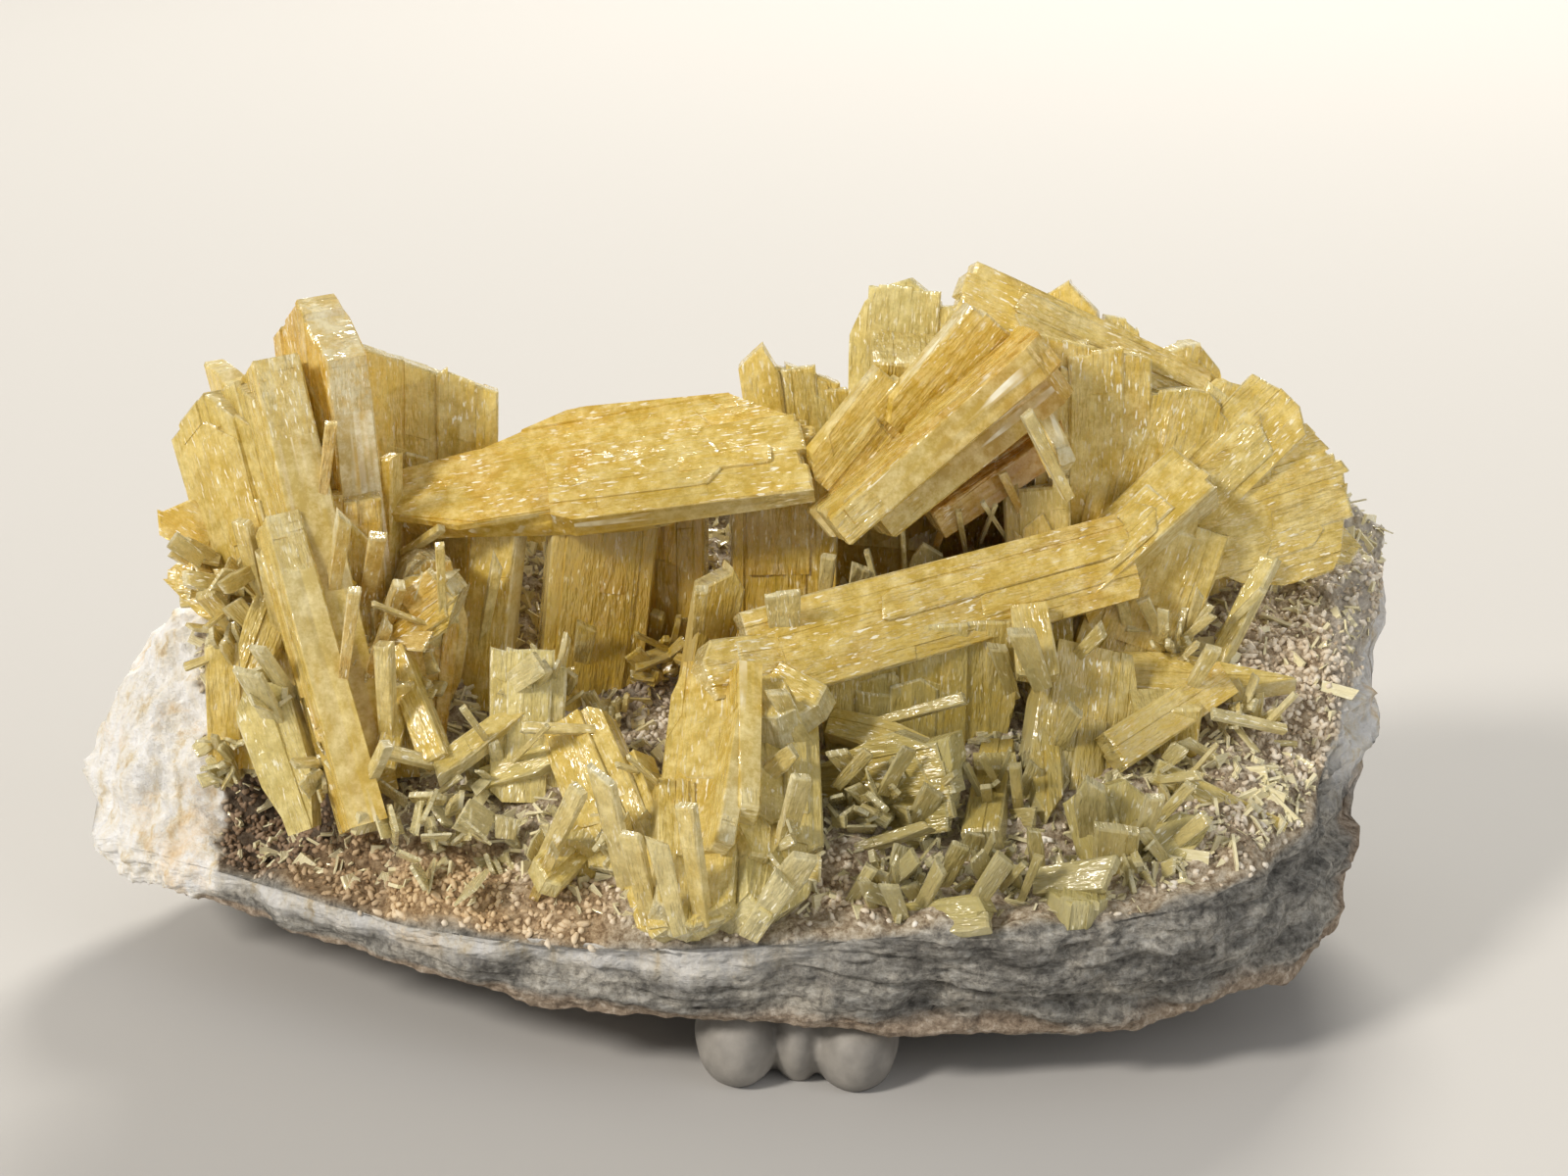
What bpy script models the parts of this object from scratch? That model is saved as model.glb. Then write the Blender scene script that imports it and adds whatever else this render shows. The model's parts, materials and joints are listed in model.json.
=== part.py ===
# Bladed barite: groups of honey-yellow tabular crystals on a wedge of layered rock, propped by a putty pad.
# The model is in metres with +Z up and rests on z = 0. Dimensions below are in millimetres.
import math
import random

import bmesh
import bpy
from mathutils import Matrix, Vector, noise
from mathutils.bvhtree import BVHTree

MM = 0.001
SEED = 7

# The origin is moved to the middle of the specimen's footprint.
CENTRE_X = 0.5
CENTRE_Y = -0.5

# Pieces that touch keep this much air between them.
CONTACT_GAP = 0.35

# Rock: at each x, nine points (y, z) run up the broken front face, back over the crystal-lined top,
# down the back and home along the underside. The pairs are front foot, front rim, lip, floor, wall,
# back rim, back shoulder, back foot and underside.
ROCK_SECTIONS = (
    (-80.0, ((7, 13.5), (6, 15.5), (8, 18), (10, 20), (12, 22), (14, 22), (17, 19), (16, 14), (12, 12.5))),
    (-75.0, ((1, 12.5), (0, 17), (3, 23), (7, 28), (12, 33), (19, 34), (25, 27), (23, 11), (12, 11))),
    (-66.0, ((-5, 12.5), (-6, 17), (-2, 22), (6, 33), (14, 42), (23, 44), (31, 36), (30, 6), (12, 9.5))),
    (-52.0, ((-15, 12.3), (-16, 17.5), (-11, 20), (-5, 27), (7, 39), (29, 48), (36, 40), (32, 1.5), (4, 8))),
    (-36.0, ((-25, 11.8), (-27, 18), (-22, 21.5), (-9, 30), (7, 39), (31, 49), (36, 41), (33, -0.6), (2, 6.5))),
    (-16.0, ((-31, 9.6), (-34, 18.6), (-29, 22), (-8, 32), (10, 40), (32, 50), (36, 42), (34, -1), (0, 5.5))),
    (4.0, ((-33, 9.5), (-36, 19.9), (-31, 22.5), (-8, 32), (10, 40), (32, 51), (36, 42), (34, -1), (0, 5))),
    (22.0, ((-33, 8.3), (-36, 21), (-31, 23), (-8, 32), (10, 40), (32, 51), (36, 43), (34, -1), (0, 4.5))),
    (40.0, ((-31, 6.6), (-35, 21.8), (-30, 24), (-8, 33), (10, 41), (32, 51.5), (36, 43), (34, -0.6), (0, 4))),
    (56.0, ((-27, 9.8), (-29, 23.8), (-24, 26.5), (-5, 34), (12, 42), (32, 51.5), (35, 43), (31, 2), (2, 5))),
    (66.0, ((-18, 9.1), (-15, 24.5), (-12, 27.5), (0, 35), (14, 43), (32, 51.5), (34, 43), (31, 8), (5, 8))),
    (73.0, ((-3, 16), (0, 33), (3, 36), (8, 40), (16, 45), (31, 51.5), (33.5, 44), (31, 18), (12, 16))),
    (78.5, ((13, 28), (15.5, 38), (17, 41), (20, 45), (24, 48), (30, 50.5), (32.5, 45), (30, 29), (20, 27))),
    (81.5, ((24, 40), (23.5, 43), (24.5, 45), (26, 47), (28, 48), (30, 47.5), (30.5, 45), (29, 41), (26, 39))),
)
# How many rows of faces each of the nine stretches gets, starting from the front foot.
ROCK_ROWS = (5, 2, 5, 5, 4, 2, 5, 3, 3)
ROCK_COLUMNS = 38
CORNER_ROUNDING = 0.16
# 0 spaces the columns evenly along the rock, and 1 crowds them at its ends.
END_CROWDING = 0.45
FRONT_ROWS = ROCK_ROWS[0]
# The crystal-lined top runs from the lip almost to the back rim.
TOP_ROWS = (sum(ROCK_ROWS[:2]), sum(ROCK_ROWS[:5]) - 2)
# How far the loft's tips stand out past its first and last rings.
END_CAP = 0.6
LUMP_SIZE = 11.0
LUMP_HEIGHT = 2.2
GRAIN_SIZE = 5.0
GRAIN_HEIGHT = 1.2
LEDGE_THICKNESS = 2.9
LEDGE_DEPTH = 2.6
LEDGE_FULL_HEIGHT = 14.0
LEDGE_DIP = 0.09
# How much one layer differs from the next, and how fast a layer's edge wanders along the rock.
LEDGE_CHANGE = 3.7
LEDGE_WANDER = 0.05
LEDGE_SEED = 2.3
# The crust dips into a pocket at the left of the crystals: centre, radius and depth.
POCKET_CENTRE = (-56.0, -6.0, 26.0)
POCKET_RADIUS = 12.0
POCKET_DEPTH = 5.0

# Putty: three finger-pressed lobes on one pad, as centre and half sizes.
PUTTY_LOBES = (
    ((0.3, -25.0, 4.2), (4.9, 8.6, 6.2)),
    ((7.2, -24.0, 4.4), (3.4, 8.0, 6.4)),
    ((13.6, -25.5, 3.8), (5.2, 8.8, 6.0)),
    ((7.0, -22.0, 4.0), (9.0, 7.0, 6.0)),
)
# A block under the putty that cuts its base flat.
GROUND_SIZE = 60.0
GROUND_CENTRE = (7.0, -25.0, -GROUND_SIZE / 2)

# Little blades scattered over the crust and grown into it. The bare ends of the rock have none: the count
# of columns left out at its left and right end.
DRUSE_COUNT = 40
DRUSE_BARE_COLUMNS = (7, 5)
DRUSE_TRIES = 900
DRUSE_LENGTH = (4.0, 8.0)
DRUSE_WIDTH = (1.4, 3.6)
DRUSE_THICKNESS = (0.8, 1.5)
DRUSE_LEAN = 0.9
DRUSE_ROOT_DEPTH = 1.6
DRUSE_SHOWING = 0.75
DRUSE_AZIMUTH = (-80, 80)
DRUSE_ELEVATION = (-10, 60)
DRUSE_CLEARANCE = 0.4
DRUSE_SPACING = 3.4
# A ray in this direction is counted through a solid's walls, to tell inside from outside.
RAY_DIRECTION = Vector((0.05, 0.08, 1.0)).normalized()
RAY_STEP = 0.01

# Outlines of a blade's broad face. The first number runs across it from -1 to 1, the second from root to tip.
OUTLINES = {
    "square": ((-0.92, 0), (0.92, 0), (1, 1), (-1, 0.985)),
    "chisel": ((-0.9, 0), (0.9, 0), (1, 0.86), (0.15, 1), (-1, 0.9)),
    "slant": ((-0.9, 0), (0.9, 0), (1, 0.86), (-1, 1)),
    "spear": ((-0.8, 0), (0.8, 0), (1, 0.4), (0.12, 1), (-0.15, 1), (-1, 0.45)),
    "round": ((-0.75, 0), (0.75, 0), (1, 0.55), (0.75, 0.9), (0.1, 1), (-0.6, 0.95), (-1, 0.65)),
    "fan": ((-0.45, 0), (0.4, 0), (0.95, 0.55), (1, 0.8), (0.5, 0.97), (-0.15, 1), (-0.85, 0.86), (-1, 0.6)),
    "jagged": ((-0.8, 0), (0.8, 0), (1, 0.8), (0.6, 0.95), (0.35, 0.86), (0.05, 1), (-0.3, 0.89),
               (-0.6, 0.97), (-1, 0.74)),
    "roof": ((-0.15, 0), (0.25, 0.02), (0.42, 0.15), (0.75, 0.45), (0.88, 0.62), (0.55, 0.78), (0.4, 0.9),
             (0.25, 1), (-0.1, 1), (-0.5, 0.9), (-1.03, 0.78), (-0.7, 0.61), (-1.1, 0.47), (-0.5, 0.15)),
}
BEVEL_SHARE = 0.2
BEVEL_MOST = 0.8
BEVEL_LEAST_WIDTH = 11.0

# Crystals, one row for each: root point, tip point, width, thickness, the way its broad face looks as
# azimuth from the front and elevation in degrees, and the outline of that face.
BLADES = {
    "left_blade_fan": (
        ((-45.5, 4, 34), (-49.5, 8, 83), 15, 5.5, -58, 5, "chisel"),
        ((-42.5, -12, 28), (-54.5, 4, 76), 12, 5.5, -72, 0, "square"),
        ((-46.5, -6, 30), (-59.5, 8, 76.5), 15, 3, -62, 0, "slant"),
        ((-42.5, -19, 27), (-53, -5, 59.5), 8, 4.5, -75, 5, "square"),
        ((-38, 13.5, 36), (-37, 16, 75), 16.5, 3.2, 8, 8, "slant"),
        ((-43, 4, 40), (-42, 4, 65), 5, 3, -20, 0, "square"),
        ((-45.5, -3, 31), (-46, -1, 62), 9, 6, 12, 10, "square"),
        ((-47.5, 2, 45), (-48, 2, 67), 4.5, 4, 10, 0, "square"),
        ((-50, 6, 46), (-69.5, 8, 57.5), 6, 4.5, 0, 20, "chisel"),
        ((-48, 0, 47), (-68.5, 6, 49), 9, 4, -20, 30, "round"),
        ((-51.5, -2, 33), (-62.5, 8, 71.5), 14, 4, -35, 5, "chisel"),
        ((-56, 7, 48), (-64.5, 8, 64.5), 5, 2.5, -30, 0, "chisel"),
        ((-53, 2, 52), (-57.5, -7, 39.5), 5, 3, 0, 20, "round"),
        ((-45, -6, 53), (-55.5, -11, 41), 3, 2.5, -10, 40, "spear"),
        ((-38.5, -3, 32), (-35.5, 0, 54.5), 9, 8, 20, 20, "round"),
        ((-42, -3, 44), (-32, -5, 52.5), 8, 5, 30, 30, "round"),
        ((-50, 0, 32), (-51, 4, 60), 18, 12, -20, 0, "round"),
        ((-44, 9, 36), (-43, 11, 54), 14, 8, 0, 0, "round"),
    ),
    "roof_blade_group": (
        ((-41.5, 5, 57), (9.5, 8, 65.5), 19, 4, 3, 60, "roof"),
        ((-22, 2, 60.5), (8.5, 4, 64.5), 12, 3, 5, 55, "square"),
        ((-30.5, 1, 34), (-28, 6, 58), 6.5, 3, -25, 0, "square"),
        ((-18.5, 1, 32), (-15.5, 6, 60), 13, 4, 15, 0, "square"),
        ((-7.5, 8, 36), (-7.5, 10, 63), 8, 3, -10, -5, "square"),
        ((5.5, 5, 34), (5.5, 11, 63), 13, 5, 5, 0, "square"),
    ),
    "chisel_in_the_hollow": (
        ((-5.5, -4, 31), (-1.5, -3, 54), 5.5, 3, 25, 0, "chisel"),
    ),
    "right_blade_stack": (
        ((28, 22, 38), (29, 13, 76), 26, 10, 0, 0, "square"),
        ((11.5, 3, 60), (21.5, 6, 71.5), 13, 3, 25, 10, "square"),
        ((20.5, 4, 66), (32, 8, 78.5), 13, 3, 25, 10, "square"),
        ((35.5, 4, 78), (10.5, -4, 58), 12, 4.5, -90, 48, "square"),
        ((37.5, 7, 74), (15.5, 0, 58), 12, 5, -90, 40, "square"),
        ((38, 11, 67.5), (21.5, 6, 57.5), 12, 4, -60, 40, "square"),
        ((42, 8, 52), (41.5, 10, 78.5), 15, 4, 10, 10, "slant"),
        ((45, 4, 36), (54, 12, 71.5), 19, 4, 10, 15, "chisel"),
        ((34, 3, 72), (39, -2, 62.5), 3.2, 3, -50, 0, "round"),
        ((37, 2.5, 34), (35.5, 6, 61.5), 8, 5, -5, 5, "square"),
        ((19.5, 15, 50), (21.5, 19, 84), 15, 3, -12, 5, "jagged"),
        ((55.5, 16, 68), (26, 14, 82), 8.5, 4, 10, 25, "square"),
        ((40.5, 14, 56), (39.5, 19, 82.5), 8, 3.5, -10, 0, "chisel"),
        ((45.5, 16, 54), (45.5, 20, 78.5), 9, 3, 0, 0, "round"),
        ((51, 18, 42), (55, 20, 75), 11, 3, 20, 5, "round"),
        ((57, 18, 42), (59.5, 18, 70.5), 10, 3, 15, 5, "round"),
        ((7, 17, 40), (2, 19, 75.5), 5, 3, 0, 0, "chisel"),
        ((10.5, 18, 42), (7.5, 20, 73.5), 9, 3, 5, 0, "slant"),
        ((15, 19, 42), (11.5, 20, 71.5), 8, 3.4, 0, 0, "slant"),
        ((50, 8, 44), (60, 14, 71.5), 12, 4, 15, 15, "round"),
        ((33, 25, 44), (36, 31, 71), 12, 4, 170, 10, "chisel"),
        ((22, 25, 44), (17, 31, 66), 10, 3.5, 190, 10, "slant"),
    ),
    "ridge_and_right_fan": (
        ((45, 3, 36), (52, 7, 57), 14, 7, 0, 0, "square"),
        ((49, 6, 53), (73.5, 13, 59), 20, 5, 10, 12, "fan"),
        ((52.5, 8, 57), (66.5, 13, 70), 10, 4, 0, 20, "chisel"),
        ((52, 7, 52), (72, 14, 51), 9, 4, 5, 20, "fan"),
        ((60, 9, 55), (76, 14, 49.5), 7, 3, 10, 30, "round"),
        ((39, 0, 48.5), (55, 6, 62), 7.5, 7, -15, 35, "square"),
        ((46, 1, 53), (1.5, -10, 44), 11, 5.5, -8, 20, "square"),
        ((21, -5, 29), (21, -6, 48), 24, 5, 5, 0, "square"),
        ((7, -9, 43.5), (-4.5, -14, 43.5), 7, 5, 0, 30, "chisel"),
        ((34, -6, 49), (35, -12, 41.5), 5, 3, 0, 10, "chisel"),
    ),
    "front_rosette": (
        ((1, -12, 26), (0, -14, 41), 15, 9, -10, 20, "round"),
        ((-2, -22, 19), (-2, -26, 30), 13, 9, -10, 20, "round"),
        ((-2, -10, 43), (-4.5, -37.5, 21.5), 10, 4, -20, 25, "chisel"),
        ((0.5, -20, 40.5), (-2, -33, 29.5), 6, 2.6, -80, 20, "square"),
        ((1, -15, 44), (1, -31, 30), 7, 2.8, -85, 20, "chisel"),
        ((-13, -17, 33), (-6, -36.5, 20.5), 8, 3.5, -35, 20, "chisel"),
        ((-18.5, -12, 37), (-11, -28, 25), 9, 3.5, -20, 25, "chisel"),
        ((-5.5, -23, 33), (-5, -37.5, 21.5), 8, 4, 15, 15, "chisel"),
        ((2.5, -17, 36.5), (2, -33, 28), 8, 3.5, 20, 20, "round"),
        ((5.5, -22, 31), (3, -37, 22.5), 9, 4, 25, 25, "round"),
        ((6, -12, 41), (6.5, -31, 26.5), 7, 3, 15, 15, "chisel"),
        ((3.5, -12, 41.5), (5, -21, 39), 5, 5, 0, 30, "chisel"),
        ((4.5, -13, 42), (10, -18, 40.5), 5, 4, 0, 40, "chisel"),
    ),
    "lower_right_blades": (
        ((38, 0, 38.5), (66, -4, 38.5), 6.5, 3, 5, 55, "spear"),
        ((41.5, -3, 42.5), (39, -14, 28), 13, 4.5, 10, 5, "slant"),
        ((57, -6, 40), (43, -14.5, 34), 5, 4, -10, 20, "square"),
        ((50, -8, 32), (50, -9, 39), 8, 5, 0, 10, "square"),
    ),
    "right_edge_splinter": (
        ((63, -17, 25.5), (47.5, -15, 32.5), 3, 2.5, -10, 30, "square"),
        ((56.5, -15, 22), (57, -17, 28.5), 4, 3, 0, 30, "chisel"),
    ),
    "lower_right_pair": (
        ((43.5, -25, 20), (40, -21, 33), 6, 4, -20, 10, "chisel"),
        ((41.5, -26, 20), (44.5, -21, 34), 5, 3, 10, 10, "chisel"),
        ((42.5, -27, 22), (54, -21.5, 30), 5, 3, 0, 40, "round"),
    ),
    "round_centre_blade": (
        ((10.5, -15, 28), (25.5, -21.5, 33.5), 14, 3.5, 5, 20, "round"),
        ((21, -19, 27), (24, -19, 39.5), 6, 4, -10, 50, "round"),
        ((11, -10, 36), (24, -17, 35.5), 4, 2.5, 0, 45, "spear"),
    ),
    "centre_lath": (
        ((31, -8, 32), (28, -24, 27), 4.5, 3.5, -15, 10, "square"),
        ((30, -12, 26), (30, -13, 33), 5, 4, 0, 10, "square"),
    ),
    "twin_centre_lath": (
        ((35.5, -8, 36), (35.5, -21, 28), 3.8, 3, 10, 10, "round"),
        ((35.5, -14, 25), (35.5, -14, 32), 3.6, 3.5, 0, 10, "square"),
    ),
    "front_rim_crystal": (
        ((38.5, -26, 23), (37.5, -36, 22.8), 7, 4, 0, 45, "round"),
    ),
    "front_rim_chisel": (
        ((19.5, -31, 20.5), (28.5, -35.5, 23.5), 4.5, 3.5, 0, 30, "chisel"),
    ),
    "lower_left_laths": (
        ((-39.5, -7, 44), (-34, -17, 34), 3.4, 2.8, -10, 15, "square"),
        ((-38.5, -8, 42), (-40.5, -17, 33), 2.8, 2.5, 20, 15, "square"),
        ((-38.5, -9, 30), (-39, -10, 42), 4, 4, 0, 10, "square"),
    ),
    "lower_left_plates": (
        ((-24.5, -14, 28), (-24, -8, 45.5), 9, 3, 10, 35, "slant"),
        ((-25, -11, 38), (-41, -22, 29), 3, 2.5, -10, 45, "spear"),
    ),
    "lower_middle_spear": (
        ((-29, -14, 30.5), (-14.5, -14, 36), 3.2, 2.4, 0, 45, "spear"),
    ),
    "front_left_spike": (
        ((-14.5, -18.5, 28), (-22, -30.5, 24.5), 4.5, 3, -10, 20, "chisel"),
        ((-17, -23, 20), (-18, -24.5, 29), 5, 4, -10, 20, "chisel"),
    ),
    "pocket_edge_crystal": (
        ((-49.5, -15, 25), (-56, -9, 43), 7, 4, -15, 35, "jagged"),
    ),
    "six_sided_crystal": (
        ((-60, -2, 28), (-59.5, -1, 44.5), 6.5, 3.4, -5, 20, "chisel"),
    ),
    "right_shelf_lath": (
        ((55, 1, 34), (64, 6.5, 51.5), 2.6, 2.2, -30, 40, "square"),
    ),
    "back_right_blade": (
        ((48, 25, 44), (53, 30, 64), 11, 3.5, 160, 10, "round"),
    ),
    "back_left_blades": (
        ((-50, 26, 40), (-54, 32, 66), 12, 4, 185, 8, "chisel"),
        ((-44, 24, 40), (-38, 30, 62), 10, 3.5, 165, 8, "slant"),
    ),
    "back_middle_blades": (
        ((-20, 25, 42), (-26, 31, 59), 10, 3.5, 185, 12, "chisel"),
        ((-17, 24, 42), (-9, 29, 62), 11, 3.5, 170, 12, "round"),
    ),
}

# Colours are linear, from the lit parts of each material.
LOOKS = {
    "rock": ((0.42, 0.36, 0.31, 1.0), 0.9),
    "barite": ((0.72, 0.5, 0.09, 1.0), 0.25),
    "putty": ((0.42, 0.4, 0.38, 1.0), 0.75),
}


def clear_scene():
    for obj in list(bpy.data.objects):
        bpy.data.objects.remove(obj, do_unlink=True)


def new_collection(name, hidden=False):
    collection = bpy.data.collections.new(name)
    bpy.context.scene.collection.children.link(collection)
    collection.hide_render = hidden
    return collection


def material(name):
    colour, roughness = LOOKS[name]
    made = bpy.data.materials.new(name)
    made.use_nodes = True
    shader = made.node_tree.nodes["Principled BSDF"]
    shader.inputs["Base Color"].default_value = colour
    shader.inputs["Roughness"].default_value = roughness
    shader.inputs["Metallic"].default_value = 0.0
    made.diffuse_color = colour
    return made


def to_model(x, y, z):
    """A point in millimetres of the specimen as a point in metres of the model."""
    return Vector((x - CENTRE_X, y - CENTRE_Y, z)) * MM


def object_of(name, mesh, collection):
    obj = bpy.data.objects.new(name, mesh)
    collection.objects.link(obj)
    return obj


def helper(name, mesh):
    obj = object_of(name, mesh, CUTTERS)
    obj.hide_render = True
    obj.display_type = "WIRE"
    return obj


def evaluated_mesh(obj, name):
    graph = bpy.context.evaluated_depsgraph_get()
    return bpy.data.meshes.new_from_object(obj.evaluated_get(graph), depsgraph=graph)


def weld(mesh, distance=1e-6):
    shape = bmesh.new()
    shape.from_mesh(mesh)
    bmesh.ops.remove_doubles(shape, verts=shape.verts, dist=distance)
    bmesh.ops.recalc_face_normals(shape, faces=shape.faces)
    shape.to_mesh(mesh)
    shape.free()


# Blades

def blade_matrix(root, tip, azimuth, elevation):
    """Places a blade with Y from root to tip and Z out of its broad face."""
    along = (tip - root).normalized()
    azimuth = math.radians(azimuth)
    elevation = math.radians(elevation)
    looks = Vector((
        math.sin(azimuth) * math.cos(elevation),
        -math.cos(azimuth) * math.cos(elevation),
        math.sin(elevation),
    ))
    normal = (looks - along * looks.dot(along)).normalized()
    turn = Matrix((along.cross(normal), along, normal)).transposed().to_4x4()
    return Matrix.Translation(root) @ turn


def add_blade(name, row, grow=0.0):
    """One tabular crystal: a flat outline given thickness, with its rim bevelled. grow swells it for a cutter."""
    root, tip, width, thickness, azimuth, elevation, kind = row
    root = to_model(*root)
    tip = to_model(*tip)
    length = (tip - root).length
    curve = bpy.data.curves.new(name, "CURVE")
    curve.dimensions = "2D"
    curve.fill_mode = "BOTH"
    bevel = min(BEVEL_SHARE * thickness, BEVEL_MOST) if width >= BEVEL_LEAST_WIDTH else 0.0
    curve.extrude = (thickness / 2 - bevel + grow) * MM
    curve.bevel_depth = bevel * MM
    curve.bevel_resolution = 0
    curve.offset = (grow - bevel) * MM
    outline = OUTLINES[kind]
    spline = curve.splines.new("POLY")
    spline.points.add(len(outline) - 1)
    for point, (across, up) in zip(spline.points, outline):
        point.co = (across * width / 2 * MM, up * length, 0.0, 1.0)
    spline.use_cyclic_u = True
    outline_object = helper(name, curve)
    outline_object.matrix_world = blade_matrix(root, tip, azimuth, elevation)
    bpy.context.view_layer.update()
    mesh = evaluated_mesh(outline_object, name)
    weld(mesh)
    blade = helper(name + "_solid", mesh)
    blade.matrix_world = outline_object.matrix_world
    bpy.data.objects.remove(outline_object, do_unlink=True)
    return blade


def blade_set(name, rows, grow=0.0):
    """The blades of a group in a collection of their own, for a Boolean to take together."""
    collection = bpy.data.collections.new(name)
    CUTTERS.children.link(collection)
    collection.hide_render = True
    made = []
    for number, row in enumerate(rows):
        blade = add_blade(f"{name}_{number}", row, grow)
        CUTTERS.objects.unlink(blade)
        collection.objects.link(blade)
        made.append(blade)
    return collection, made


def add_boolean(obj, operation, name, other=None, collection=None):
    modifier = obj.modifiers.new(name, "BOOLEAN")
    modifier.operation = operation
    modifier.solver = "EXACT"
    if collection is not None:
        modifier.operand_type = "COLLECTION"
        modifier.collection = collection
    else:
        modifier.object = other
    return modifier


def baked(obj, name):
    """The object's evaluated shape as a plain mesh in world space."""
    bpy.context.view_layer.update()
    mesh = evaluated_mesh(obj, name)
    mesh.transform(obj.matrix_world)
    mesh.materials.clear()
    weld(mesh)
    return mesh


def keep_largest_body(mesh):
    """Drops splinters that the cuts have parted from the main body."""
    whole = bmesh.new()
    whole.from_mesh(mesh)
    whole.verts.ensure_lookup_table()
    seen = set()
    groups = []
    for start in whole.verts:
        if start.index in seen:
            continue
        found = {start.index}
        waiting = [start]
        while waiting:
            vertex = waiting.pop()
            for edge in vertex.link_edges:
                other = edge.other_vert(vertex)
                if other.index not in found:
                    found.add(other.index)
                    waiting.append(other)
        seen |= found
        groups.append(found)
    parts = []
    for group in groups:
        part = whole.copy()
        outside = [vertex for vertex in part.verts if vertex.index not in group]
        bmesh.ops.delete(part, geom=outside, context="VERTS")
        parts.append(part)
    max(parts, key=lambda part: part.calc_volume()).to_mesh(mesh)
    whole.free()
    for part in parts:
        part.free()


def add_blade_group(name, rows, earlier):
    """Blades grown together, joined, then cleared of the rock and of the groups that they touch."""
    others, blades = blade_set(name + "_blades", rows[1:])
    base = add_blade(name + "_base", rows[0])
    if blades:
        add_boolean(base, "UNION", "Grown together", collection=others)
    add_boolean(base, "DIFFERENCE", "Off the rock", other=ROCK_SKIN)
    for cutter in earlier:
        add_boolean(base, "DIFFERENCE", "Off a neighbour", collection=cutter)
    mesh = baked(base, name)
    keep_largest_body(mesh)
    mesh.materials.append(BARITE)
    bpy.data.objects.remove(base, do_unlink=True)
    return object_of(name, mesh, PARTS)


# Rock

def between(positions, values, at):
    """A smooth curve through the values, read at one position."""
    last = len(positions) - 1
    span = 0
    while span < last - 1 and at > positions[span + 1]:
        span += 1

    def slope(i):
        low = max(i - 1, 0)
        high = min(i + 1, last)
        return (values[high] - values[low]) / (positions[high] - positions[low])

    width = positions[span + 1] - positions[span]
    t = (at - positions[span]) / width
    start = values[span]
    end = values[span + 1]
    a = 2 * t ** 3 - 3 * t ** 2 + 1
    b = t ** 3 - 2 * t ** 2 + t
    c = 3 * t ** 2 - 2 * t ** 3
    d = t ** 3 - t ** 2
    return start * a + slope(span) * width * b + end * c + slope(span + 1) * width * d


def section_ring(x):
    """The rock's outline at x as points in order, rounded where its stretches meet."""
    positions = [station[0] for station in ROCK_SECTIONS]
    corners = []
    for corner in range(len(ROCK_ROWS)):
        y = between(positions, [station[1][corner][0] for station in ROCK_SECTIONS], x)
        z = between(positions, [station[1][corner][1] for station in ROCK_SECTIONS], x)
        corners.append(Vector((x, y, z)))
    ring = []
    count = len(corners)
    for i, rows in enumerate(ROCK_ROWS):
        before = corners[i - 1]
        start = corners[i]
        end = corners[(i + 1) % count]
        after = corners[(i + 2) % count]
        for row in range(rows):
            t = row / rows
            out = (end - before) * CORNER_ROUNDING
            into = (after - start) * CORNER_ROUNDING
            point = start * (2 * t ** 3 - 3 * t ** 2 + 1) + out * (t ** 3 - 2 * t ** 2 + t)
            point += end * (3 * t ** 2 - 2 * t ** 3) + into * (t ** 3 - t ** 2)
            ring.append(point)
    return ring


def ledge(x, z):
    """How far a layer of the broken front face stands out at this place."""
    layer = math.floor((z + LEDGE_DIP * x) / LEDGE_THICKNESS)
    return LEDGE_DEPTH * noise.noise(Vector((layer * LEDGE_CHANGE, x * LEDGE_WANDER, LEDGE_SEED)))


def rock_grid():
    """Rings of points along the rock with its lumps, ledges and pocket, and their outward directions."""
    first = ROCK_SECTIONS[0][0]
    last = ROCK_SECTIONS[-1][0]
    rings = []
    for column in range(ROCK_COLUMNS + 1):
        share = column / ROCK_COLUMNS
        crowded = 0.5 - 0.5 * math.cos(math.pi * share)
        share += (crowded - share) * END_CROWDING
        rings.append(section_ring(first + (last - first) * share))
    outward = outward_directions(rings)
    shaped = []
    for ring, normals in zip(rings, outward):
        shaped_ring = []
        height = ring[FRONT_ROWS].z - ring[0].z
        for row, (point, normal) in enumerate(zip(ring, normals)):
            lump = LUMP_HEIGHT * noise.noise(point / LUMP_SIZE + Vector((SEED, 0, 0)))
            grain = GRAIN_HEIGHT * noise.noise(point / GRAIN_SIZE + Vector((0, SEED, 0)))
            shift = lump + grain
            if row < FRONT_ROWS:
                shift += ledge(point.x, point.z) * min(1.0, height / LEDGE_FULL_HEIGHT)
            away = (point - Vector(POCKET_CENTRE)).length / POCKET_RADIUS
            if away < 1:
                shift -= POCKET_DEPTH * (1 - away ** 2) ** 2
            moved = point + normal * shift
            moved.z = max(moved.z, 0.0)
            shaped_ring.append(moved)
        shaped.append(shaped_ring)
    return shaped


def outward_directions(rings):
    count = len(rings[0])
    directions = []
    for column, ring in enumerate(rings):
        left = rings[max(column - 1, 0)]
        right = rings[min(column + 1, len(rings) - 1)]
        normals = []
        for row in range(count):
            along = right[row] - left[row]
            around = ring[(row + 1) % count] - ring[row - 1]
            normal = along.cross(around)
            normals.append(normal.normalized())
        directions.append(normals)
    return directions


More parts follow.
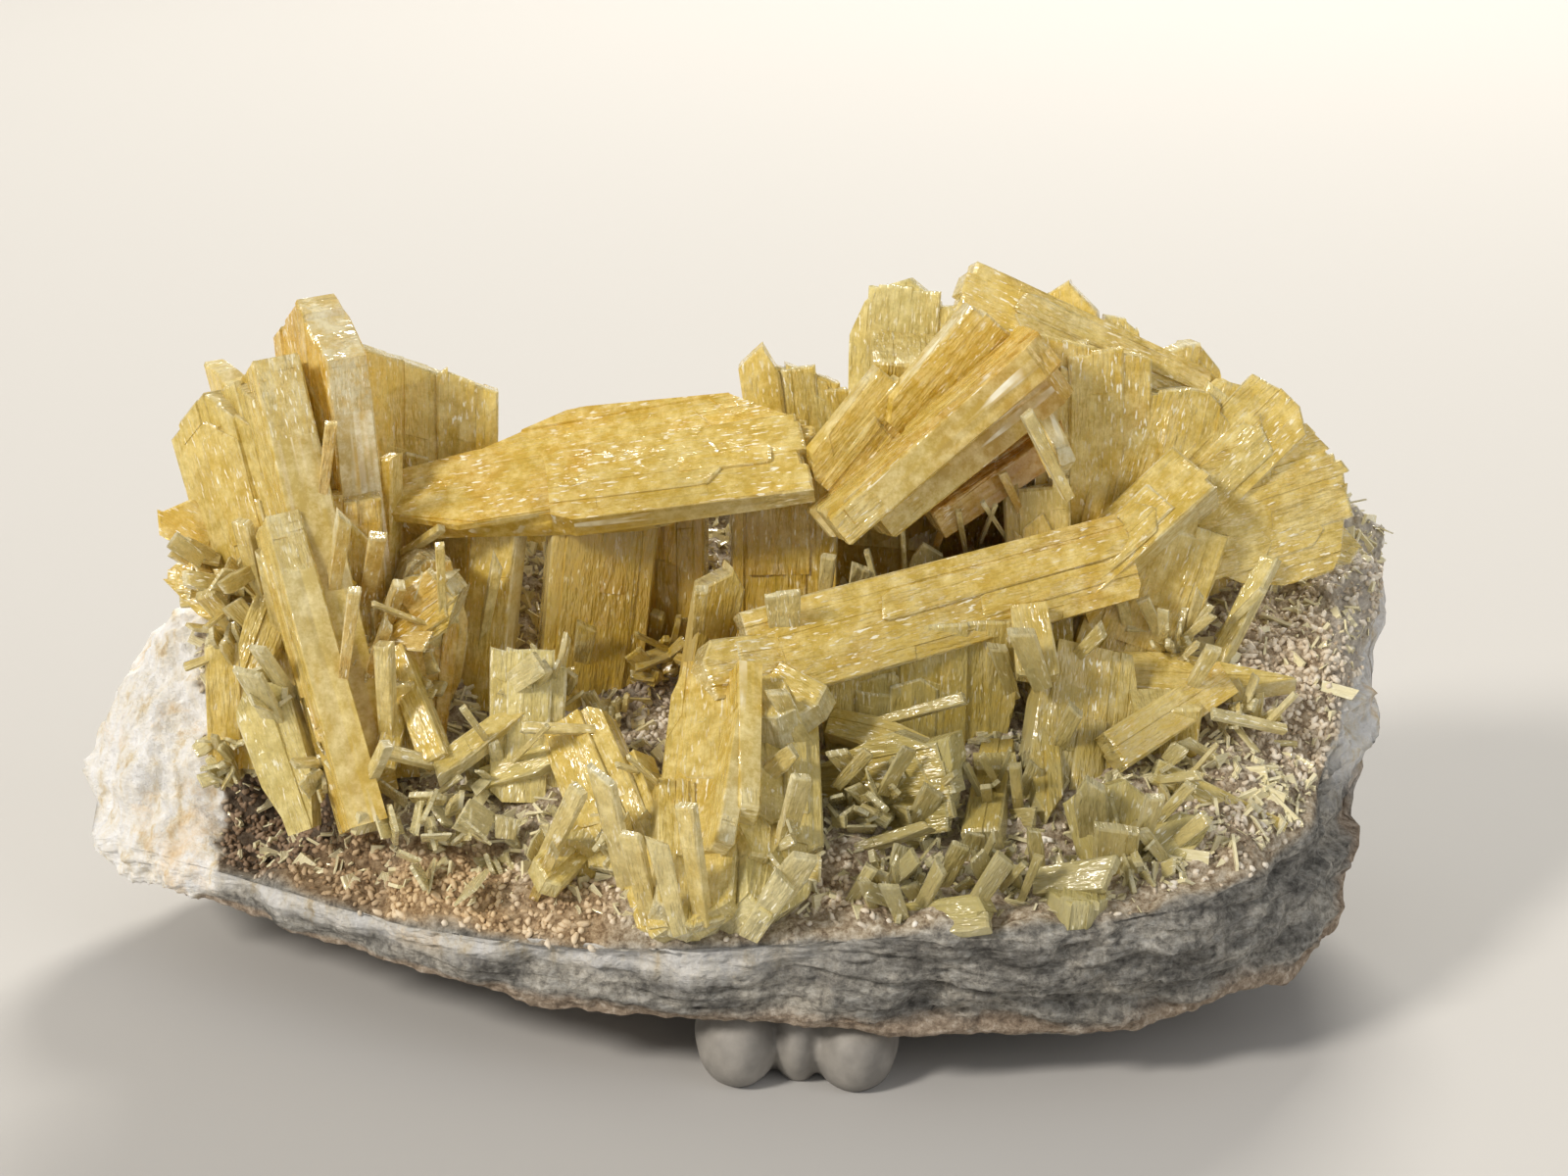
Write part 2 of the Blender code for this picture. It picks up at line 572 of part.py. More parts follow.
def rock_mesh(name, rings, skin=0.0):
    """A closed loft through the rings. skin moves it outwards for a cutter."""
    outward = outward_directions(rings)
    shape = bmesh.new()
    rows = []
    for ring, normals in zip(rings, outward):
        row = []
        for point, normal in zip(ring, normals):
            moved = point + normal * skin
            row.append(shape.verts.new(to_model(*moved)))
        rows.append(row)
    count = len(rows[0])
    for left, right in zip(rows, rows[1:]):
        for i in range(count):
            j = (i + 1) % count
            shape.faces.new((left[i], left[j], right[j], right[i]))
    for row, sign in ((rows[0], -1), (rows[-1], 1)):
        middle = sum((vertex.co for vertex in row), Vector()) / count
        middle.x += sign * (END_CAP + skin) * MM
        tip = shape.verts.new(middle)
        for i in range(count):
            shape.faces.new((row[i], row[(i + 1) % count], tip))
    bmesh.ops.recalc_face_normals(shape, faces=shape.faces)
    bmesh.ops.triangulate(shape, faces=shape.faces)
    mesh = bpy.data.meshes.new(name)
    shape.to_mesh(mesh)
    shape.free()
    return mesh


def solid_tree(obj):
    shape = bmesh.new()
    shape.from_mesh(obj.data)
    shape.transform(obj.matrix_world)
    tree = BVHTree.FromBMesh(shape)
    shape.free()
    return tree


def touches(tree, obj, point):
    """Whether a small object crosses a solid, or stands inside it."""
    if tree.overlap(solid_tree(obj)):
        return True
    crossings = 0
    hit = tree.ray_cast(point, RAY_DIRECTION)[0]
    while hit is not None:
        crossings += 1
        hit = tree.ray_cast(hit + RAY_DIRECTION * RAY_STEP * MM, RAY_DIRECTION)[0]
    return crossings % 2 == 1


def druse_rows(rings):
    """Seeded places, sizes and leanings for the little blades of the crust."""
    chance = random.Random(SEED)
    outward = outward_directions(rings)
    rows = []
    for _ in range(DRUSE_TRIES):
        column = chance.randint(DRUSE_BARE_COLUMNS[0], len(rings) - 1 - DRUSE_BARE_COLUMNS[1])
        row = chance.randint(*TOP_ROWS)
        point = rings[column][row]
        lean = Vector((chance.uniform(-1, 1), chance.uniform(-1, 1), chance.uniform(-0.4, 1)))
        direction = (outward[column][row] + lean * DRUSE_LEAN).normalized()
        length = chance.uniform(*DRUSE_LENGTH)
        root = point - direction * DRUSE_ROOT_DEPTH
        tip = point + direction * length * DRUSE_SHOWING
        rows.append((
            tuple(root), tuple(tip), chance.uniform(*DRUSE_WIDTH), chance.uniform(*DRUSE_THICKNESS),
            chance.uniform(*DRUSE_AZIMUTH), chance.uniform(*DRUSE_ELEVATION),
            chance.choice(("square", "chisel", "slant")),
        ))
    return rows


def add_matrix(rings, groups):
    """The rock with its little blades grown into the crust, clear of every larger crystal."""
    rock = object_of("matrix", rock_mesh("matrix", rings), PARTS)
    trees = [solid_tree(group) for group in groups]
    grown = bpy.data.collections.new("druse")
    CUTTERS.children.link(grown)
    grown.hide_render = True
    placed = []
    for row in druse_rows(rings):
        if len(placed) == DRUSE_COUNT:
            break
        middle = (to_model(*row[0]) + to_model(*row[1])) / 2
        if any((middle - other).length < DRUSE_SPACING * MM for other in placed):
            continue
        probe = add_blade("druse_probe", row, DRUSE_CLEARANCE)
        crosses = any(touches(tree, probe, middle) for tree in trees)
        bpy.data.objects.remove(probe, do_unlink=True)
        if crosses:
            continue
        blade = add_blade(f"druse_{len(placed)}", row)
        CUTTERS.objects.unlink(blade)
        grown.objects.link(blade)
        placed.append(middle)
    add_boolean(rock, "UNION", "Druse", collection=grown)
    mesh = baked(rock, "matrix")
    rock.modifiers.clear()
    rock.data = mesh
    mesh.materials.append(ROCK)
    return rock


# Putty

def add_putty():
    """A pad of putty pressed up under the front of the rock, flat where it stands."""
    lobes = []
    for number, (centre, half) in enumerate(PUTTY_LOBES):
        shape = bmesh.new()
        bmesh.ops.create_icosphere(shape, subdivisions=2, radius=1.0)
        size = Matrix.Diagonal((half[0] * MM, half[1] * MM, half[2] * MM, 1.0))
        bmesh.ops.transform(shape, matrix=Matrix.Translation(to_model(*centre)) @ size, verts=shape.verts)
        mesh = bpy.data.meshes.new(f"putty_lobe_{number}")
        shape.to_mesh(mesh)
        shape.free()
        lobes.append(mesh)
    putty = object_of("mounting_putty", lobes[0], PARTS)
    for number, mesh in enumerate(lobes[1:]):
        add_boolean(putty, "UNION", f"Lobe {number}", other=helper(f"putty_lobe_{number}", mesh))
    ground = bmesh.new()
    bmesh.ops.create_cube(ground, size=GROUND_SIZE * MM)
    bmesh.ops.translate(ground, vec=to_model(*GROUND_CENTRE), verts=ground.verts)
    mesh = bpy.data.meshes.new("ground")
    ground.to_mesh(mesh)
    ground.free()
    add_boolean(putty, "DIFFERENCE", "Flat base", other=helper("ground", mesh))
    add_boolean(putty, "DIFFERENCE", "Pressed to the rock", other=ROCK_SKIN)
    mesh = baked(putty, "mounting_putty")
    putty.modifiers.clear()
    putty.data = mesh
    mesh.materials.append(PUTTY)
    return putty


clear_scene()
PARTS = new_collection("Bladed barite")
CUTTERS = new_collection("Cutters", hidden=True)
ROCK = material("rock")
BARITE = material("barite")
PUTTY = material("putty")

GRID = rock_grid()
ROCK_SKIN = helper("rock_skin", rock_mesh("rock_skin", GRID, CONTACT_GAP))

made_groups = []
swollen = []
for group_name, group_rows in BLADES.items():
    made_groups.append(add_blade_group(group_name, group_rows, swollen))
    swollen.append(blade_set(group_name + "_swollen", group_rows, CONTACT_GAP)[0])
add_putty()
add_matrix(GRID, made_groups)
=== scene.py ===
import json
import math
import random

import bmesh
import bpy
import numpy as np
from mathutils import Matrix, Vector, noise

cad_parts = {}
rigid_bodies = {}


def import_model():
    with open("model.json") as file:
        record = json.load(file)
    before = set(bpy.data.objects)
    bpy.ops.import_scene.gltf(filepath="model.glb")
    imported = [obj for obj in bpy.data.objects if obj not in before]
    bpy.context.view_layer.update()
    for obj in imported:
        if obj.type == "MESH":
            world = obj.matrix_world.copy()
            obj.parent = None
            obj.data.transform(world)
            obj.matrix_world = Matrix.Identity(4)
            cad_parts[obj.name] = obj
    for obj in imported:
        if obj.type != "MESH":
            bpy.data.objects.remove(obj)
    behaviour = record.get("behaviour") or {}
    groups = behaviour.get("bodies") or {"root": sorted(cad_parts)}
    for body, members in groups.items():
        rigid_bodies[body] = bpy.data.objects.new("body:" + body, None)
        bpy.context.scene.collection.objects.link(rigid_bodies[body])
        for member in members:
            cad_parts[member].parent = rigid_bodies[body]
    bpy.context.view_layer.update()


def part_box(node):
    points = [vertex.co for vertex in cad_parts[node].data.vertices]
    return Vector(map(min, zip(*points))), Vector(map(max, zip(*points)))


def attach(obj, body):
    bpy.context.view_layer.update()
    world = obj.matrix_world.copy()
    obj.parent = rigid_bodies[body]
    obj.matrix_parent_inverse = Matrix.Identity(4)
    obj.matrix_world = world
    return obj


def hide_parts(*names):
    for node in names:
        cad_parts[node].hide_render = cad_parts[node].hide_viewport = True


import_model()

MM = 0.001
SEED = 7

# The tables count from the photographed specimen's own mark, and the frame from the middle of its footprint.
CENTRE_X = 0.5
CENTRE_Y = -0.5

# Rock

# The rock's outline at each x as (y, z) points, from the front foot up over the crystal-lined top, down the
# back and home underneath.
ROCK_SECTIONS = (
    (-80.0, ((7, 13.5), (6, 15.5), (8, 18), (10, 20), (12, 22),
             (14, 22), (17, 19), (16, 14), (12, 12.5))),
    (-75.0, ((1, 12.5), (0, 17), (3, 23), (7, 28), (12, 33),
             (19, 34), (25, 27), (23, 11), (12, 11))),
    (-66.0, ((-5, 12.5), (-6, 17), (-2, 22), (6, 33), (14, 42),
             (23, 44), (31, 36), (30, 6), (12, 9.5))),
    (-52.0, ((-15, 12.3), (-16, 17.5), (-11, 20), (-5, 27), (7, 39),
             (29, 48), (36, 40), (32, 1.5), (4, 8))),
    (-36.0, ((-25, 11.8), (-27, 18), (-22, 21.5), (-9, 30), (7, 39),
             (31, 49), (36, 41), (33, -0.6), (2, 6.5))),
    (-16.0, ((-31, 9.6), (-34, 18.6), (-29, 22), (-8, 32), (10, 40),
             (32, 50), (36, 42), (34, -1), (0, 5.5))),
    (4.0, ((-33, 9.5), (-36, 19.9), (-31, 22.5), (-8, 32), (10, 40),
           (32, 51), (36, 42), (34, -1), (0, 5))),
    (22.0, ((-33, 8.3), (-36, 21), (-31, 23), (-8, 32), (10, 40),
            (32, 51), (36, 43), (34, -1), (0, 4.5))),
    (40.0, ((-31, 6.6), (-35, 21.8), (-30, 24), (-8, 33), (10, 41),
            (32, 51.5), (36, 43), (34, -0.6), (0, 4))),
    (56.0, ((-27, 9.8), (-29, 23.8), (-24, 26.5), (-5, 34), (12, 42),
            (32, 51.5), (35, 43), (31, 2), (2, 5))),
    (66.0, ((-18, 9.1), (-15, 24.5), (-12, 27.5), (0, 35), (14, 43),
            (32, 51.5), (34, 43), (31, 8), (5, 8))),
    (73.0, ((-3, 16), (0, 33), (3, 36), (8, 40), (16, 45),
            (31, 51.5), (33.5, 44), (31, 18), (12, 16))),
    (78.5, ((13, 28), (15.5, 38), (17, 41), (20, 45), (24, 48),
            (30, 50.5), (32.5, 45), (30, 29), (20, 27))),
    (81.5, ((24, 40), (23.5, 43), (24.5, 45), (26, 47), (28, 48),
            (30, 47.5), (30.5, 45), (29, 41), (26, 39))),
)
ROCK_COLUMNS = 340
# Rows of faces on each stretch, in the same order. The stretches that face the camera get most.
ROCK_ROWS = (46, 16, 48, 44, 32, 16, 56, 16, 12)
CORNER_ROUNDING = 0.16
END_CROWDING = 0.45
# Places on the outline are counted in stretches: the upright front ends at the first of these numbers, and
# the back starts at the second.
FRONT_END = 1
BACK_START = 5

# Crystals

HONEY = "#fbd75a"
GREENISH = "#f9ea9c"
AMBER = "#eda526"
CLOUD = "#fcefb4"
# Painted white glints.
PAINTED_GLINT = "#fffbe4"
# Frosted rims, also painted pale as an edge highlight.
FROST_AND_EDGE_GLINT = "#f8f1cc"

# Where iron has stained the crystals, and where shade is painted onto them under the roof blade and low down
# between the crystals in front on the right: the middle in millimetres, how far off in metres the mark is
# full and gone, its strength and its colour.
STAINS_AND_PAINTED_SHADE = (
    ((30, 12, 53), 0.005, 0.015, 0.85, "#8a5a1c"),
    # Painted shade under the roof blade.
    ((-11, 8, 45), 0.01, 0.022, 0.95, "#c9b35a"),
    # Painted shade low down between the crystals in front on the right.
    ((30, -19, 27), 0.012, 0.032, 0.85, "#bab79f"),
)

# Outlines of a blade's broad face: across it from -1 to 1, then from root to tip.
OUTLINES = {
    "square": ((-0.92, 0), (0.92, 0), (1, 1), (-1, 0.985)),
    "chisel": ((-0.9, 0), (0.9, 0), (1, 0.86), (0.15, 1), (-1, 0.9)),
    "slant": ((-0.9, 0), (0.9, 0), (1, 0.86), (-1, 1)),
    "spear": ((-0.8, 0), (0.8, 0), (1, 0.4), (0.12, 1), (-0.15, 1), (-1, 0.45)),
    "round": ((-0.75, 0), (0.75, 0), (1, 0.55), (0.75, 0.9), (0.1, 1), (-0.6, 0.95), (-1, 0.65)),
    "fan": ((-0.45, 0), (0.4, 0), (0.95, 0.55), (1, 0.8), (0.5, 0.97), (-0.15, 1), (-0.85, 0.86), (-1, 0.6)),
    "jagged": ((-0.8, 0), (0.8, 0), (1, 0.8), (0.6, 0.95), (0.35, 0.86), (0.05, 1), (-0.3, 0.89),
               (-0.6, 0.97), (-1, 0.74)),
    "roof": ((-0.15, 0), (0.25, 0.02), (0.42, 0.15), (0.75, 0.45), (0.88, 0.62), (0.55, 0.78), (0.4, 0.9),
             (0.25, 1), (-0.1, 1), (-0.5, 0.9), (-1.03, 0.78), (-0.7, 0.61), (-1.1, 0.47), (-0.5, 0.15)),
}

# Crystals by the solid that they stand for. Each row: root, tip, width, thickness, azimuth and elevation
# that its broad face looks to, outline, and tint from 0 greenish through 0.5 honey to 1 amber.
BLADES = {
    "left_blade_fan": (
        ((-45.5, 4, 34), (-49.5, 8, 83), 15, 5.5, -58, 5, "chisel", 0.62),
        ((-42.5, -12, 28), (-54.5, 4, 76), 12, 5.5, -72, 0, "square", 0.5),
        ((-46.5, -6, 30), (-59.5, 8, 76.5), 15, 3, -62, 0, "slant", 0.42),
        ((-42.5, -19, 27), (-53, -5, 59.5), 8, 4.5, -75, 5, "square", 0.5),
        ((-38, 13.5, 36), (-37, 16, 75), 16.5, 3.2, 8, 8, "slant", 0.36),
        ((-43, 4, 40), (-42, 4, 65), 5, 3, -20, 0, "square", 0.6),
        ((-45.5, -3, 31), (-46, -1, 62), 9, 6, 12, 10, "square", 0.66),
        ((-47.5, 2, 45), (-48, 2, 67), 4.5, 4, 10, 0, "square", 0.7),
        ((-50, 6, 46), (-69.5, 8, 57.5), 6, 4.5, 0, 20, "chisel", 0.62),
        ((-48, 0, 47), (-68.5, 6, 49), 9, 4, -20, 30, "round", 0.5),
        ((-51.5, -2, 33), (-62.5, 8, 71.5), 14, 4, -35, 5, "chisel", 0.42),
        ((-56, 7, 48), (-64.5, 8, 64.5), 5, 2.5, -30, 0, "chisel", 0.5),
        ((-53, 2, 52), (-57.5, -7, 39.5), 5, 3, 0, 20, "round", 0.45),
        ((-45, -6, 53), (-55.5, -11, 41), 3, 2.5, -10, 40, "spear", 0.5),
        ((-38.5, -3, 32), (-35.5, 0, 54.5), 9, 8, 20, 20, "round", 0.72),
        ((-42, -3, 44), (-32, -5, 52.5), 8, 5, 30, 30, "round", 0.6),
    ),
    "roof_blade_group": (
        ((-41.5, 5, 57), (9.5, 8, 65.5), 19, 4, 3, 60, "roof", 0.55),
        ((-22, 2, 60.5), (8.5, 4, 64.5), 12, 3, 5, 55, "square", 0.5),
        ((-30.5, 1, 34), (-28, 6, 58), 6.5, 3, -25, 0, "square", 0.4),
        ((-18.5, 1, 32), (-15.5, 6, 60), 13, 4, 15, 0, "square", 0.45),
        ((-7.5, 8, 36), (-7.5, 10, 63), 8, 3, -10, -5, "square", 0.5),
        ((5.5, 5, 34), (5.5, 11, 63), 13, 5, 5, 0, "square", 0.55),
    ),
    "chisel_in_the_hollow": (
        ((-5.5, -4, 31), (-1.5, -3, 54), 5.5, 3, 25, 0, "chisel", 0.5),
    ),
    "right_blade_stack": (
        ((28, 22, 38), (29, 13, 76), 26, 10, 0, 0, "square", 0.5),
        ((11.5, 3, 60), (21.5, 6, 71.5), 13, 3, 25, 10, "square", 0.5),
        ((20.5, 4, 66), (32, 8, 78.5), 13, 3, 25, 10, "square", 0.52),
        ((35.5, 4, 78), (10.5, -4, 58), 12, 4.5, -90, 48, "square", 0.6),
        ((37.5, 7, 74), (15.5, 0, 58), 12, 5, -90, 40, "square", 0.72),
        ((38, 11, 67.5), (21.5, 6, 57.5), 12, 4, -60, 40, "square", 0.95),
        ((42, 8, 52), (41.5, 10, 78.5), 15, 4, 10, 10, "slant", 0.5),
        ((45, 4, 36), (54, 12, 71.5), 19, 4, 10, 15, "chisel", 0.45),
        ((34, 3, 72), (39, -2, 62.5), 3.2, 3, -50, 0, "round", 0.5),
        ((37, 2.5, 34), (35.5, 6, 61.5), 8, 5, -5, 5, "square", 0.4),
        ((19.5, 15, 50), (21.5, 19, 84), 15, 3, -12, 5, "jagged", 0.2),
        ((55.5, 16, 68), (26, 14, 82), 8.5, 4, 10, 25, "square", 0.42),
        ((40.5, 14, 56), (39.5, 19, 82.5), 8, 3.5, -10, 0, "chisel", 0.6),
        ((45.5, 16, 54), (45.5, 20, 78.5), 9, 3, 0, 0, "round", 0.35),
        ((51, 18, 42), (55, 20, 75), 11, 3, 20, 5, "round", 0.45),
        ((57, 18, 42), (59.5, 18, 70.5), 10, 3, 15, 5, "round", 0.4),
        ((7, 17, 40), (2, 19, 75.5), 5, 3, 0, 0, "chisel", 0.4),
        ((10.5, 18, 42), (7.5, 20, 73.5), 9, 3, 5, 0, "slant", 0.35),
        ((15, 19, 42), (11.5, 20, 71.5), 8, 3.4, 0, 0, "slant", 0.3),
        ((50, 8, 44), (60, 14, 71.5), 12, 4, 15, 15, "round", 0.4),
        ((33, 25, 44), (36, 31, 71), 12, 4, 170, 10, "chisel", 0.4),
        ((22, 25, 44), (17, 31, 66), 10, 3.5, 190, 10, "slant", 0.4),
    ),
    "ridge_and_right_fan": (
        ((45, 3, 36), (52, 7, 57), 14, 7, 0, 0, "square", 0.5),
        ((49, 6, 53), (73.5, 13, 59), 20, 5, 10, 12, "fan", 0.42),
        ((52.5, 8, 57), (66.5, 13, 70), 10, 4, 0, 20, "chisel", 0.4),
        ((52, 7, 52), (72, 14, 51), 9, 4, 5, 20, "fan", 0.4),
        ((60, 9, 55), (76, 14, 49.5), 7, 3, 10, 30, "round", 0.35),
        ((39, 0, 48.5), (55, 6, 62), 7.5, 7, -15, 35, "square", 0.5),
        ((46, 1, 53), (1.5, -10, 44), 11, 5.5, -8, 20, "square", 0.5),
        ((21, -5, 29), (21, -6, 48), 24, 5, 5, 0, "square", 0.3),
        ((7, -9, 43.5), (-4.5, -14, 43.5), 7, 5, 0, 30, "chisel", 0.45),
        ((34, -6, 49), (35, -12, 41.5), 5, 3, 0, 10, "chisel", 0.4),
    ),
    "front_rosette": (
        ((1, -12, 26), (0, -14, 41), 15, 9, -10, 20, "round", 0.4),
        ((-2, -22, 19), (-2, -26, 30), 13, 9, -10, 20, "round", 0.3),
        ((-2, -10, 43), (-4.5, -37.5, 21.5), 10, 4, -20, 25, "chisel", 0.45),
        ((0.5, -20, 40.5), (-2, -33, 29.5), 6, 2.6, -80, 20, "square", 0.4),
        ((1, -15, 44), (1, -31, 30), 7, 2.8, -85, 20, "chisel", 0.45),
        ((-13, -17, 33), (-6, -36.5, 20.5), 8, 3.5, -35, 20, "chisel", 0.4),
        ((-18.5, -12, 37), (-11, -28, 25), 9, 3.5, -20, 25, "chisel", 0.35),
        ((-5.5, -23, 33), (-5, -37.5, 21.5), 8, 4, 15, 15, "chisel", 0.4),
        ((2.5, -17, 36.5), (2, -33, 28), 8, 3.5, 20, 20, "round", 0.3),
        ((5.5, -22, 31), (3, -37, 22.5), 9, 4, 25, 25, "round", 0.15),
        ((6, -12, 41), (6.5, -31, 26.5), 7, 3, 15, 15, "chisel", 0.3),
        ((3.5, -12, 41.5), (5, -21, 39), 5, 5, 0, 30, "chisel", 0.35),
        ((4.5, -13, 42), (10, -18, 40.5), 5, 4, 0, 40, "chisel", 0.35),
    ),
    "lower_right_blades": (
        ((38, 0, 38.5), (66, -4, 38.5), 6.5, 3, 5, 55, "spear", 0.35),
        ((41.5, -3, 42.5), (39, -14, 28), 13, 4.5, 10, 5, "slant", 0.35),
        ((57, -6, 40), (43, -14.5, 34), 5, 4, -10, 20, "square", 0.45),
        ((50, -8, 32), (50, -9, 39), 8, 5, 0, 10, "square", 0.4),
    ),
    "right_edge_splinter": (
        ((63, -17, 25.5), (47.5, -15, 32.5), 3, 2.5, -10, 30, "square", 0.3),
        ((56.5, -15, 22), (57, -17, 28.5), 4, 3, 0, 30, "chisel", 0.3),
    ),
    "lower_right_pair": (
        ((43.5, -25, 20), (40, -21, 33), 6, 4, -20, 10, "chisel", 0.1),
        ((41.5, -26, 20), (44.5, -21, 34), 5, 3, 10, 10, "chisel", 0.15),
        ((42.5, -27, 22), (54, -21.5, 30), 5, 3, 0, 40, "round", 0.1),
    ),
    "round_centre_blade": (
        ((10.5, -15, 28), (25.5, -21.5, 33.5), 14, 3.5, 5, 20, "round", 0.2),
        ((21, -19, 27), (24, -19, 39.5), 6, 4, -10, 50, "round", 0.1),
        ((11, -10, 36), (24, -17, 35.5), 4, 2.5, 0, 45, "spear", 0.3),
    ),
    "centre_lath": (
        ((31, -8, 32), (28, -24, 27), 4.5, 3.5, -15, 10, "square", 0.3),
        ((30, -12, 26), (30, -13, 33), 5, 4, 0, 10, "square", 0.3),
    ),
    "twin_centre_lath": (
        ((35.5, -8, 36), (35.5, -21, 28), 3.8, 3, 10, 10, "round", 0.35),
        ((35.5, -14, 25), (35.5, -14, 32), 3.6, 3.5, 0, 10, "square", 0.3),
    ),
    "front_rim_crystal": (
        ((38.5, -26, 23), (37.5, -36, 22.8), 7, 4, 0, 45, "round", 0.05),
    ),
    "front_rim_chisel": (
        ((19.5, -31, 20.5), (28.5, -35.5, 23.5), 4.5, 3.5, 0, 30, "chisel", 0.1),
    ),
    "lower_left_laths": (
        ((-39.5, -7, 44), (-34, -17, 34), 3.4, 2.8, -10, 15, "square", 0.5),
        ((-38.5, -8, 42), (-40.5, -17, 33), 2.8, 2.5, 20, 15, "square", 0.5),
        ((-38.5, -9, 30), (-39, -10, 42), 4, 4, 0, 10, "square", 0.5),
    ),
    "lower_left_plates": (
        ((-24.5, -14, 28), (-24, -8, 45.5), 9, 3, 10, 35, "slant", 0.15),
        ((-25, -11, 38), (-41, -22, 29), 3, 2.5, -10, 45, "spear", 0.3),
    ),
    "lower_middle_spear": (
        ((-29, -14, 30.5), (-14.5, -14, 36), 3.2, 2.4, 0, 45, "spear", 0.2),
    ),
    "front_left_spike": (
        ((-14.5, -18.5, 28), (-22, -30.5, 24.5), 4.5, 3, -10, 20, "chisel", 0.3),
        ((-17, -23, 20), (-18, -24.5, 29), 5, 4, -10, 20, "chisel", 0.3),
    ),
    "pocket_edge_crystal": (
        ((-49.5, -15, 25), (-56, -9, 43), 7, 4, -15, 35, "jagged", 0.1),
    ),
    "six_sided_crystal": (
        ((-60, -2, 28), (-59.5, -1, 44.5), 6.5, 3.4, -5, 20, "chisel", 0.45),
    ),
    "right_shelf_lath": (
        ((55, 1, 34), (64, 6.5, 51.5), 2.6, 2.2, -30, 40, "square", 0.2),
    ),
    "back_right_blade": (
        ((48, 25, 44), (53, 30, 64), 11, 3.5, 160, 10, "round", 0.4),
    ),
    "back_left_blades": (
        ((-50, 26, 40), (-54, 32, 66), 12, 4, 185, 8, "chisel", 0.45),
        ((-44, 24, 40), (-38, 30, 62), 10, 3.5, 165, 8, "slant", 0.4),
    ),
    "back_middle_blades": (
        ((-20, 25, 42), (-26, 31, 59), 10, 3.5, 185, 12, "chisel", 0.4),
        ((-17, 24, 42), (-9, 29, 62), 11, 3.5, 170, 12, "round", 0.35),
    ),
}

